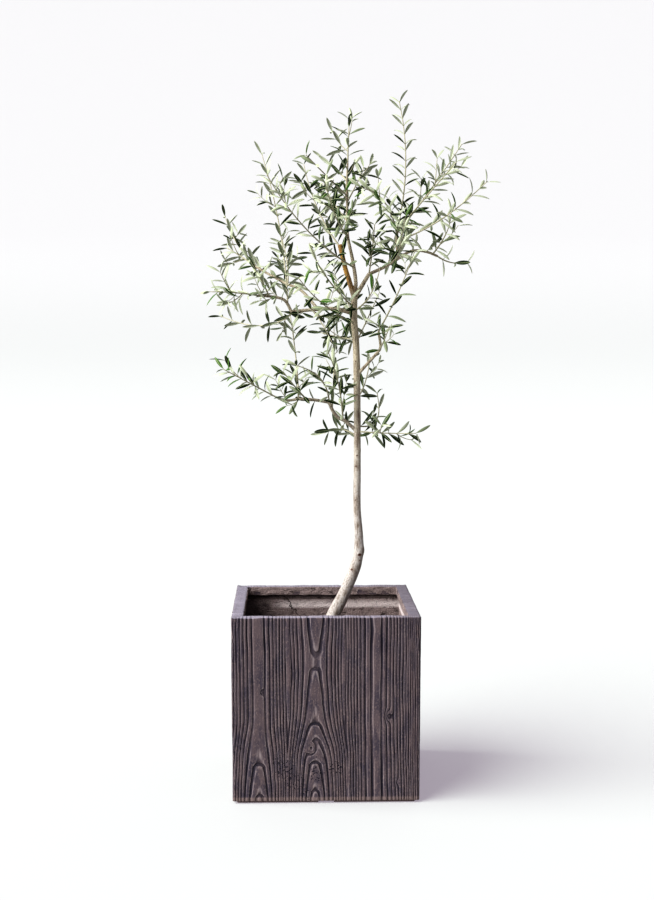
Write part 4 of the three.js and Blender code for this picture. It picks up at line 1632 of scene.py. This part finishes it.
@dataclass
class Rule:
    """The growth rule of a mass, in millimetres and radians."""

    stem_foot: float = 1.9
    stem_tip: float = 0.9
    twig_foot: float = 1.2
    twig_tip: float = 0.7
    zone: Span = (0.2, 0.86)
    place: Span = (0.3, 0.7)
    angle: float = math.radians(48)
    angle_spread: float = math.radians(18)
    turn: float = math.radians(137.5)
    turn_jitter: float = 0.4
    lengths: Span = (0.8, 1.15)
    shortening: float = 0.45
    lift: float = 0.16
    shortest: float = 26.0
    probe_start: float = 12.0
    probe_step: float = 6.0
    grows_on: float = 15.0
    fine_gap: float = 95.0
    fine_zone: Span = (0.12, 0.85)
    fine_reach: float = 42.0
    fine_lengths: Span = (0.5, 1.2)
    spray_lengths: Span = (0.5, 1.1)
    fine_shortest: float = 16.0
    fine_skipped: float = 0.35
    fine_foot: float = 0.85
    spray_foot: float = 0.95
    fine_tip: float = 0.6
    fine_leaf: float = 0.85
    spray_leaf: float = 0.9
    stem_bare: float = 14.0
    twig_bare: float = 10.0
    fine_bare: float = 8.0
    stem_pair_gap: float = 20.0
    twig_pair_gap: float = 22.0
    fine_pair_gap: float = 16.0
    leaf: float = 46.0
    twig_share: float = 0.48
    leaf_seed_step: int = 7919
    fine_seed_step: int = 15485
    twig_seed_step: int = 31
    twiglet_seed_step: int = 17

    def heading(self, axis: np.ndarray, turn: float, angle: float) -> np.ndarray:
        """The direction that leaves an axis at an angle, on the side that a turn gives."""
        return axis * math.cos(angle) + square_to(axis, turn) * math.sin(angle)

    def _aims(self, draw: Draw, count: int, sizes: Span) -> Iterator[tuple[float, float, float, float]]:
        """Spreads side twigs round a shoot by a fixed turn.

        Args:
            draw: The shoot's draws.
            count: How many twigs there are.
            sizes: The least and the greatest share of its full length that a twig has.

        Yields:
            Of each twig its place in the row, its turn, its angle and its size.
        """
        start = draw.between(0, 2 * math.pi)
        for i in range(count):
            place = i + draw.between(*self.place)
            turn = start + i * self.turn + draw.between(-self.turn_jitter, self.turn_jitter)
            angle = self.angle + draw.between(-0.5, 0.5) * self.angle_spread
            yield place, turn, angle, draw.between(*sizes)

    def twigs(self, stem: Stem, order: int, space: Space) -> list[Shoot]:
        """Side twigs of a stem, spread round it by a fixed turn and shorter towards its tip.

        Args:
            stem: The stem.
            order: Its place among all stems.
            space: What tells its own space.

        Returns:
            The twigs.
        """
        made = []
        aims = self._aims(Draw(stem.seed), stem.twigs, self.lengths)
        for i, (place, turn, angle, size) in enumerate(aims, 1):
            share = place / stem.twigs
            along = self.zone[0] + (self.zone[1] - self.zone[0]) * share
            full = stem.reach * size * (1 - self.shortening * share)
            heading = self.heading(stem.route.heading(along), turn, angle)
            twig = self._side(
                stem.route.at(along), heading, full, self.shortest, lambda spot: space.holds(spot, order)
            )
            if twig:
                seed = stem.seed + self.twig_seed_step * i
                radii = (self.twig_foot, self.twig_tip)
                made.append(Shoot(twig, *radii, self.twig_pair_gap, self.leaf, seed, self.twig_bare))
        return made

    def fine_twigs(self, shoot: Shoot, order: int, space: Space) -> list[Shoot]:
        """Short twiglets between the leaves of a stem or a twig.

        Args:
            shoot: What they leave.
            order: Its mass's place among all.
            space: What tells its own space.

        Returns:
            The twiglets.
        """
        draw = Draw(shoot.seed + self.fine_seed_step)
        low, high = self.fine_zone
        made = []
        aims = self._aims(draw, int(shoot.route.length / self.fine_gap), self.fine_lengths)
        for i, (place, turn, angle, size) in enumerate(aims, 1):
            along = place * self.fine_gap / shoot.route.length
            if not low < along < high or draw() < self.fine_skipped:
                continue
            heading = self.heading(shoot.route.heading(along), turn, angle)
            twig = self._side(
                shoot.route.at(along), heading, self.fine_reach * size, self.fine_shortest,
                lambda spot: space.holds(spot, order),
            )
            if twig:
                seed = shoot.seed + self.twiglet_seed_step * i
                made.append(self._twiglet(twig, self.fine_foot, self.fine_leaf, seed))
        return made

    def _twiglet(self, route: Route, foot: float, leaf: float, seed: int) -> Shoot:
        """A twiglet with a foot radius and leaves that are a share of the usual length."""
        return Shoot(route, foot, self.fine_tip, self.fine_pair_gap, self.leaf * leaf, seed, self.fine_bare)

    def sprays(self, limb: Limb, route: Route, space: Space) -> list[Shoot]:
        """Short leafy twiglets that leave a thin limb.

        Args:
            limb: The limb.
            route: Its curve.
            space: What tells where limbs are.

        Returns:
            The twiglets.
        """
        low, high, gap = SPRAYS[limb.name]
        seed = FIRST_SEED + self.fine_seed_step * (1 + LIMBS.index(limb))
        count = round(route.length * (high - low) / gap)
        made = []
        aims = self._aims(Draw(seed), count, self.spray_lengths)
        for i, (place, turn, angle, size) in enumerate(aims, 1):
            along = low + (high - low) * place / count
            heading = self.heading(route.heading(along), turn, angle)
            full = self.fine_reach * size
            twig = self._side(route.at(along), heading, full, self.fine_shortest, space.clear)
            if twig:
                twig_seed = seed + self.twiglet_seed_step * i
                made.append(self._twiglet(twig, self.spray_foot, self.spray_leaf, twig_seed))
        return made

    def _side(
        self, foot: np.ndarray, heading: np.ndarray, full: float, shortest: float,
        allowed: Callable[[np.ndarray], bool],
    ) -> Route | None:
        """One side twig, as long as its space lets it be.

        Args:
            foot: Where it leaves its shoot.
            heading: The direction that it leaves in.
            full: Its length where nothing is in its way.
            shortest: The least length that makes a twig.
            allowed: Tells of a place whether the twig may be there.

        Returns:
            Its curve, or none where it is too short.
        """
        length = full
        for reach in np.arange(self.probe_start, full + 1e-9, self.probe_step):
            place = foot + heading * reach + np.array([0, 0, self.lift * reach * reach / full])
            if not allowed(place):
                length = reach - 2 * self.probe_step
                break
        if length < shortest:
            return None
        tip = foot + heading * length + np.array([0, 0, self.lift * length])
        return Route.by_knee(foot, foot + heading * length / 2, tip)


@dataclass
class Leaf:
    """One leaf: its root, where it points, which way its upper face looks, its size and tones."""

    root: np.ndarray
    heading: np.ndarray
    upper: np.ndarray
    length: float
    width: float
    curl: float
    fold: float
    twist: float
    top: int
    under: int


# How many points a blade's section has, and which of them are its edges
SECTION = 6
EDGE_POINTS = (0, 3)


class Region(Enum):
    """The parts of the crown, each one piece of leaves, by the limbs whose masses it holds."""

    TOP = ("middle_leader", "pruned_stub")
    RIGHT = ("right_riser", "right_bough_outer", "right_bough", "low_right_bough")
    LEFT = ("left_limb_outer", "left_limb_inner", "second_left_bough")
    LOW = ("trunk", "low_left_bough_inner", "low_left_bough_outer")


@dataclass
class Foliage:
    """Twigs and leaves of all the masses, in millimetres.

    A leaf's tone is a sum: its shoot's mood, its own draw, how near the tip it is and how lit its place is,
    each by its weight, so leaves out in the light are painted paler above and below and leaves in the
    crown's middle darker, as painted light and shade. heart is the crown's shaded middle, and young is the
    x, the z and the reach of the bright young tip.
    """

    rule: Rule = field(default_factory=Rule)
    stations: int = 10
    twig_step: float = 7.0
    leaf_width: float = 9.0
    leaf_thickness: float = 0.35
    tops: tuple[PlainFinish, ...] = (
        PlainFinish("leaf_top_deep", (0.006, 0.016, 0.004), 0.5, 0.08),
        PlainFinish("leaf_top_green", (0.036, 0.066, 0.022), 0.4, 0.3),
        PlainFinish("leaf_top_grey_green", (0.15, 0.18, 0.11), 0.4, 0.4),
        # A pale grey-green top, dealt at random and to lit leaves, partly a painted sheen
        PlainFinish("leaf_top_pale_sheen", (0.33, 0.36, 0.26), 0.42, 0.4),
        PlainFinish("leaf_top_bright", (0.04, 0.1, 0.012), 0.45),
    )
    unders: tuple[PlainFinish, ...] = (
        # A dark underside, painted shade, dealt to undersides in the crown's shaded middle and partly at
        # random
        PlainFinish("leaf_under_shaded_dark", (0.027, 0.045, 0.019), 0.6),
        PlainFinish("leaf_under_pale", (0.22, 0.25, 0.17), 0.65),
        PlainFinish("leaf_under_silver", (0.36, 0.385, 0.3), 0.7),
    )
    top_shares: tuple[float, ...] = (0.4, 0.47, 0.56)
    under_shares: tuple[float, ...] = (0.44, 0.55)
    # The crown's shaded middle, round which leaves are painted darker, and how far it reaches
    heart: Place = (60.0, 0.0, 1170.0)
    heart_reach: float = 270.0
    lit_between: Span = (880.0, 1120.0)
    mood_weight: float = 0.28
    own_weight: float = 0.5
    tip_weight: float = 0.1
    lit_weight: float = 0.38
    tone_start: float = -0.05
    # Leaves lit past this are painted at least the second top tone
    pale_where_lit: float = 0.6
    # How much light paints the undersides paler, and the light at which it does nothing
    under_lit_weight: float = 0.42
    under_lit_middle: float = 0.35
    along_jitter: float = 0.12
    turn_jitter: float = 0.16
    wide_at_foot: float = 39.0
    wide_lost: float = 13.0
    wide_jitter: float = 0.1
    sizes: Span = (0.84, 1.06)
    size_lost: float = 0.2
    upright: float = 0.35
    widths: Span = (0.85, 1.1)
    curls: Span = (0.65, 1.15)
    folds: Span = (0.5, 0.85)
    twist: float = 0.2
    young: Place = (-215.0, 905.0, 55.0)
    young_bright: float = 0.55
    other_bright: float = 0.035
    kept: float = 0.95
    rib: PlainFinish = PlainFinish("leaf_rib", (0.22, 0.25, 0.13), 0.6)
    twig_bark: PlainFinish = PlainFinish("twig_bark", (0.3, 0.285, 0.2), 0.7)

    def build(self) -> None:
        """Grows every mass and makes the pieces."""
        routes = {limb.name: (limb, limb.route()) for limb in LIMBS}
        stems = self._stems(routes)
        space = Space(stems, list(routes.values()))
        shoots: list[list[Shoot]] = []
        for order, stem in enumerate(stems):
            main = self._main_shoot(stem)
            chance = Draw(stem.seed + self.rule.fine_seed_step)
            share = self.rule.twig_share / stem.spacing**2
            twigs = [twig for twig in self.rule.twigs(stem, order, space) if chance() < share]
            shoots.append([main, *twigs, *self.rule.fine_twigs(main, order, space)])
        finishes = [finish.material() for finish in (*self.tops, *self.unders, self.rib)]
        total = 0
        for region in Region:
            mine = [i for i, stem in enumerate(stems) if stem.limb in region.value]
            own = [shoot for i in mine for shoot in shoots[i]]
            for name in region.value:
                if name in SPRAYS:
                    sprays = self.rule.sprays(*routes[name], space)
                    own.extend(sprays)
                    shoots.append(sprays)
            leaves = [leaf for shoot in own for leaf in self._leaves(shoot, space)]
            total += len(leaves)
            piece = self._leaf_mesh(f"leaves_{region.name.lower()}", leaves)
            for finish in finishes:
                piece.data.materials.append(finish)
            settle(piece, [f"leaves_{stems[i].name}" for i in mine])
        log.info("leaves in all: %d", total)
        twigs = self._twig_mesh([shoot for group in shoots for shoot in group])
        twigs.data.materials.append(self.twig_bark.material())
        settle(twigs, [f"leaves_{stem.name}" for stem in stems])

    @staticmethod
    def _stems(routes: dict[str, tuple[Limb, Route]]) -> list[Stem]:
        """The main stems, in the order in which the solids number them.

        Args:
            routes: Every limb with its curve, by name.

        Returns:
            The stems.
        """
        made = []
        for limb in LIMBS:
            for mass in MASSES.get(limb.name, ()):
                foot = routes[limb.name][1].at(mass.along)
                route = Route.by_knee(foot, np.array(mass.knee, float), np.array(mass.tip, float))
                seed = FIRST_SEED + len(made)
                made.append(Stem(mass.name, limb.name, seed, route, mass.twigs, mass.reach, mass.spacing))
        return made

    def _main_shoot(self, stem: Stem) -> Shoot:
        """The shoot of a stem, run on past its tip, as its last leaves are smaller than the solids'.

        Args:
            stem: The stem.

        Returns:
            The shoot.
        """
        rule = self.rule
        on = stem.route.points[-1] + stem.route.heading(1.0) * rule.grows_on
        route = Route(np.vstack([stem.route.points, on]))
        gap = rule.stem_pair_gap * stem.spacing
        return Shoot(route, rule.stem_foot, rule.stem_tip, gap, rule.leaf, stem.seed, rule.stem_bare)

    def _leaves(self, shoot: Shoot, space: Space) -> list[Leaf]:
        """Opposite pairs along a shoot, each a quarter turn from the last, and a pair at its tip.

        Args:
            shoot: What the leaves sit on.
            space: What tells where limbs are.

        Returns:
            The leaves that are clear of the limbs.
        """
        draw = Draw(shoot.seed + self.rule.leaf_seed_step)
        mood = draw()
        pairs = max(1, round((shoot.route.length - shoot.bare) / shoot.pair_gap))
        start = draw.between(0, math.pi)
        made = []
        for i in range(pairs + 1):
            share = i / pairs
            along = shoot.bare / shoot.route.length * (1 - share) + 0.99 * share
            shift = draw.between(-self.along_jitter, self.along_jitter) / pairs
            along = min(max(along + shift, 0), 0.995)
            place = shoot.route.at(along)
            axis = shoot.route.heading(along)
            radius = shoot.foot + (shoot.tip - shoot.foot) * along
            for side in range(2):
                turned = draw.between(-self.turn_jitter, self.turn_jitter)
                turn = start + i * math.pi / 2 + side * math.pi + turned
                widened = draw.between(-self.wide_jitter, self.wide_jitter)
                wide = math.radians(self.wide_at_foot - self.wide_lost * share**2) + widened
                size = shoot.leaf * draw.between(*self.sizes) * (1 - self.size_lost * share**3)
                leaf = self._leaf(place, axis, turn, wide, size, radius, mood, share, draw)
                if draw() < self.kept and self._fits(leaf, space):
                    made.append(leaf)
        return made

    def _leaf(
        self, place: np.ndarray, axis: np.ndarray, turn: float, angle: float, length: float, radius: float,
        mood: float, share: float, draw: Draw,
    ) -> Leaf:
        """One leaf at a place on a shoot, with its upper face towards the shoot's tip.

        Args:
            place: Where it sits.
            axis: The shoot's direction there.
            turn: On which side of the shoot it sits.
            angle: How far it stands off.
            length: Its length.
            radius: The shoot's radius.
            mood: The shoot's own number, which its leaves share.
            share: How far along the shoot it is.
            draw: The shoot's draws.

        Returns:
            The leaf.
        """
        heading = self.rule.heading(axis, turn, angle)
        upper = axis - heading * float(axis @ heading)
        upper /= np.linalg.norm(upper)
        upper = upper + np.array([0, 0, self.upright * draw()])
        upper -= heading * float(upper @ heading)
        upper /= np.linalg.norm(upper)
        # Painted light and shade: leaves far from the shaded heart and high up count as lit and take paler
        # tones
        away = float(np.linalg.norm(place - np.array(self.heart))) / self.heart_reach
        lit = min(away, 1.0) ** 2 * float(smooth(*self.lit_between, place[2]))
        tone = self.mood_weight * mood + self.own_weight * draw() + self.tip_weight * share
        tone += self.lit_weight * lit + self.tone_start
        top = max(int(np.searchsorted(self.top_shares, tone)), int(lit > self.pale_where_lit))
        new = float(np.hypot(place[0] - self.young[0], place[2] - self.young[1])) < self.young[2]
        if draw() < (self.young_bright if new else self.other_bright):
            top = len(self.tops) - 1
        # Undersides too are painted paler where lit and darker in the shaded heart
        under_tone = draw() + self.under_lit_weight * (lit - self.under_lit_middle)
        under = int(np.searchsorted(self.under_shares, under_tone))
        root = place + heading * radius * 0.7
        width = self.leaf_width * length / self.rule.leaf * draw.between(*self.widths)
        curl = draw.between(*self.curls)
        fold = -draw.between(*self.folds)
        twist = draw.between(-self.twist, self.twist)
        return Leaf(root, heading, upper, length, width, curl, fold, twist, top, under)

    @staticmethod
    def _fits(leaf: Leaf, space: Space) -> bool:
        """True for a leaf whose middle and tip are clear of every limb."""
        return all(space.clear(leaf.root + leaf.heading * leaf.length * share) for share in (0.45, 1.0))

    def _leaf_mesh(self, name: str, leaves: Sequence[Leaf]) -> bpy.types.Object:
        """All leaves of a region as one mesh: blades with a rib, paler below, closed at the edge.

        Args:
            name: The piece's name.
            leaves: Its leaves.

        Returns:
            The piece.
        """
        corners, tones = self._leaf_faces(leaves)
        piece = mesh_piece(name, self._leaf_points(leaves), corners, tones)
        self._mark_margins(piece)
        return piece

    @staticmethod
    def _summed(slope: np.ndarray) -> np.ndarray:
        """Running sums of a slope's means between stations, from nought.

        Args:
            slope: One row for each leaf and one column for each station.

        Returns:
            The sums, in the same shape.
        """
        means = (slope[:, 1:] + slope[:, :-1]) / 2
        return np.concatenate([np.zeros((len(slope), 1)), np.cumsum(means, axis=1)], axis=1)

    def _leaf_points(self, leaves: Sequence[Leaf]) -> np.ndarray:
        """The points of all the blades, six round each station.

        They are the left edge, the rib's left and right above, the right edge, and the rib's right
        and left below.

        Args:
            leaves: The leaves.

        Returns:
            The points in metres, one a row.
        """
        t = np.linspace(0, 1, self.stations)
        blade = np.sin(np.pi * np.clip((t - 0.07) / 0.93, 0, 1) ** 0.95) ** 0.66
        outline = np.maximum(blade, np.where(t < 0.1, 0.09, 0.02))
        root = np.array([leaf.root for leaf in leaves])
        ahead = np.array([leaf.heading for leaf in leaves])
        upper = np.array([leaf.upper for leaf in leaves])
        aside = np.cross(ahead, upper)
        number = np.array([[leaf.length, leaf.width, leaf.curl, leaf.fold, leaf.twist] for leaf in leaves])
        length, width, curl, fold, twist = (column[:, None] for column in number.T)
        bend = curl * t
        forward = length * self._summed(np.cos(bend)) / (self.stations - 1)
        drop = -length * self._summed(np.sin(bend)) / (self.stations - 1)
        half = width / 2 * outline
        rib = np.minimum(half, width * 0.05 + 0.1)
        thick = self.leaf_thickness * (0.4 + 0.6 * outline)
        turned = twist * t
        raised = fold * half
        level = 0.0 * half
        section = (
            (-half, raised), (-rib, level), (rib, level), (half, raised), (rib, -thick), (-rib, -thick),
        )
        spots = []
        for x, z in section:
            sideways = x * np.cos(turned) - z * np.sin(turned)
            lifted = x * np.sin(turned) + z * np.cos(turned)
            spots.append(
                root[:, None] + ahead[:, None] * forward[..., None] + aside[:, None] * sideways[..., None]
                + upper[:, None] * (drop + lifted)[..., None]
            )
        return np.stack(spots, axis=2).reshape(-1, 3) * MM

    def _leaf_faces(self, leaves: Sequence[Leaf]) -> tuple[np.ndarray, np.ndarray]:
        """The faces round and at both ends of all the blades.

        Args:
            leaves: The leaves.

        Returns:
            The corners' numbers, one face a row, and the number of each face's finish.
        """
        corners, tones = [], []
        last = self.stations - 1
        base = np.arange(len(leaves)) * self.stations * SECTION
        tops = np.array([leaf.top for leaf in leaves])
        unders = np.array([leaf.under for leaf in leaves]) + len(self.tops)
        ribs = np.full(len(leaves), len(self.tops) + len(self.unders))
        strips = (tops, ribs, tops, unders, ribs, unders)
        for step in range(last):
            near = base + step * SECTION
            far = near + SECTION
            for a, tone in enumerate(strips):
                b = (a + 1) % SECTION
                corners.append(np.stack([near + a, near + b, far + b, far + a], axis=1))
                tones.append(tone)
        ends = ((0, (5, 4, 1, 0)), (0, (4, 3, 2, 1)), (last, (0, 1, 4, 5)), (last, (1, 2, 3, 4)))
        for station, order in ends:
            corners.append(np.stack([base + station * SECTION + k for k in order], axis=1))
            tones.append(tops)
        return np.concatenate(corners), np.concatenate(tones)

    @staticmethod
    def _mark_margins(piece: bpy.types.Object) -> None:
        """Keeps the shading of upper and lower faces apart along the blades' edges.

        Args:
            piece: The leaves of a region.
        """
        ends = np.empty(len(piece.data.edges) * 2, np.int32)
        piece.data.edges.foreach_get("vertices", ends)
        ends = ends.reshape(-1, 2)
        slot = ends % SECTION
        margin = (slot[:, 0] == slot[:, 1]) & np.isin(slot[:, 0], EDGE_POINTS)
        sharp = piece.data.attributes.new("sharp_edge", "BOOLEAN", "EDGE")
        sharp.data.foreach_set("value", margin)

    def _twig_mesh(self, shoots: Sequence[Shoot]) -> bpy.types.Object:
        """All stems, twigs and twiglets as one mesh of thin closed tubes.

        Args:
            shoots: All of them.

        Returns:
            The piece.
        """
        places, corners = [], []
        base = 0
        sides = 6
        around = np.arange(sides) * 2 * math.pi / sides
        for shoot in shoots:
            row = shoot.route.spaced(self.twig_step)
            ahead = np.gradient(row, axis=0)
            ahead /= np.linalg.norm(ahead, axis=1)[:, None]
            radii = np.linspace(shoot.foot, shoot.tip, len(row))
            across = np.array([square_to(axis, 0.0) for axis in ahead])
            other = np.cross(ahead, across)
            for angle in around:
                ring = across * math.cos(angle) + other * math.sin(angle)
                places.append(row + ring * radii[:, None])
            steps = len(row)
            for side in range(sides):
                near = base + side * steps + np.arange(steps - 1)
                far = base + (side + 1) % sides * steps + np.arange(steps - 1)
                corners.append(np.stack([near, far, far + 1, near + 1], axis=1))
            ends = base + steps * np.array([[0, 3, 2, 1], [0, 5, 4, 3], [0, 1, 2, 3], [0, 3, 4, 5]])
            corners.append(ends + np.array([[0], [0], [steps - 1], [steps - 1]]))
            base += sides * steps
        return mesh_piece("twigs", np.concatenate(places) * MM, np.concatenate(corners))


# Studio


@dataclass
class Studio:
    """The white paper sweep, the soft light and the camera, in metres and radians."""

    camera: Place = (-0.0780, -3.2319, 0.9977)
    pitch: float = math.radians(85.368)
    roll: float = math.radians(-1.504)
    focal_pixels: float = 1464.3
    picture_height: float = 900.0
    width: float = 14.0
    front: float = -6.0
    back: float = 3.0
    curve: float = 1.5
    wall: float = 5.0
    key_side: float = math.radians(67)
    key_height: float = math.radians(36)
    key_distance: float = 3.0
    key_softness: float = math.radians(64)
    key_power: float = 7.1
    fill: Colour = (0.33, 0.315, 0.355)

    def build(self) -> None:
        """Sets the scene round the tree."""
        self._sweep()
        self._lights()
        self._camera()

    def _sweep(self) -> None:
        """A sheet that lies as a floor and curves up into the background."""
        bpy.ops.object.select_all(action="DESELECT")
        middle = (self.front + self.back) / 2
        bpy.ops.mesh.primitive_plane_add(size=1, location=(0, middle, 0))
        size = (self.width, self.back - self.front, 1)
        bpy.ops.transform.resize(value=size, center_override=(0, middle, 0))
        bpy.ops.object.transform_apply(location=True, rotation=True, scale=True)
        sweep = bpy.context.active_object
        sweep.name = "paper_sweep"
        edit(sweep, "EDGE")
        choose_edges(sweep, lambda a, b: min(a.y, b.y) > self.back - 0.01)
        centre = (0, self.back, self.curve)
        bpy.ops.mesh.spin(
            steps=32, angle=-math.pi / 2, center=centre, axis=(1, 0, 0), use_auto_merge=False
        )
        bpy.ops.mesh.extrude_region_move(TRANSFORM_OT_translate={"value": (0, 0, self.wall)})
        done()
        bpy.ops.object.shade_smooth()
        sweep.data.materials.append(PaperFinish().material())

    def _lights(self) -> None:
        """One soft key from the left and front, and a weaker even fill all round."""
        level = math.cos(self.key_height)
        towards = Vector(
            (level * math.sin(self.key_side), level * math.cos(self.key_side), -math.sin(self.key_height))
        )
        bpy.ops.object.light_add(type="SUN", location=-self.key_distance * towards)
        key = bpy.context.active_object
        key.name = "key"
        key.data.energy = self.key_power
        key.data.angle = self.key_softness
        key.rotation_euler = towards.to_track_quat("-Z", "Y").to_euler()
        world = bpy.data.worlds.new("studio")
        world.use_nodes = True
        back = next(node for node in world.node_tree.nodes if node.type == "BACKGROUND")
        back.inputs["Color"].default_value = (*self.fill, 1)
        bpy.context.scene.world = world
        bpy.context.scene.view_settings.view_transform = "Standard"
        bpy.context.scene.view_settings.look = "High Contrast"

    def _camera(self) -> None:
        """The camera at the photograph's place."""
        data = bpy.data.cameras.new("camera")
        camera = bpy.data.objects.new("camera", data)
        bpy.context.scene.collection.objects.link(camera)
        data.sensor_width = 36.0
        data.lens = self.focal_pixels / self.picture_height * data.sensor_width
        camera.location = self.camera
        camera.rotation_euler = Euler((self.pitch, 0, self.roll))
        bpy.context.scene.camera = camera


def write_sizes() -> None:
    """Brings the scene up to date."""
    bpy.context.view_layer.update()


def main() -> None:
    """Builds the tree, the planter and the studio."""
    logging.basicConfig(level=logging.INFO, format="%(name)s %(message)s", stream=sys.stdout)
    Studio().build()
    Planter().build()
    Soil().build()
    Wood().build()
    Foliage().build()
    write_sizes()


if __name__ == "__main__":
    main()
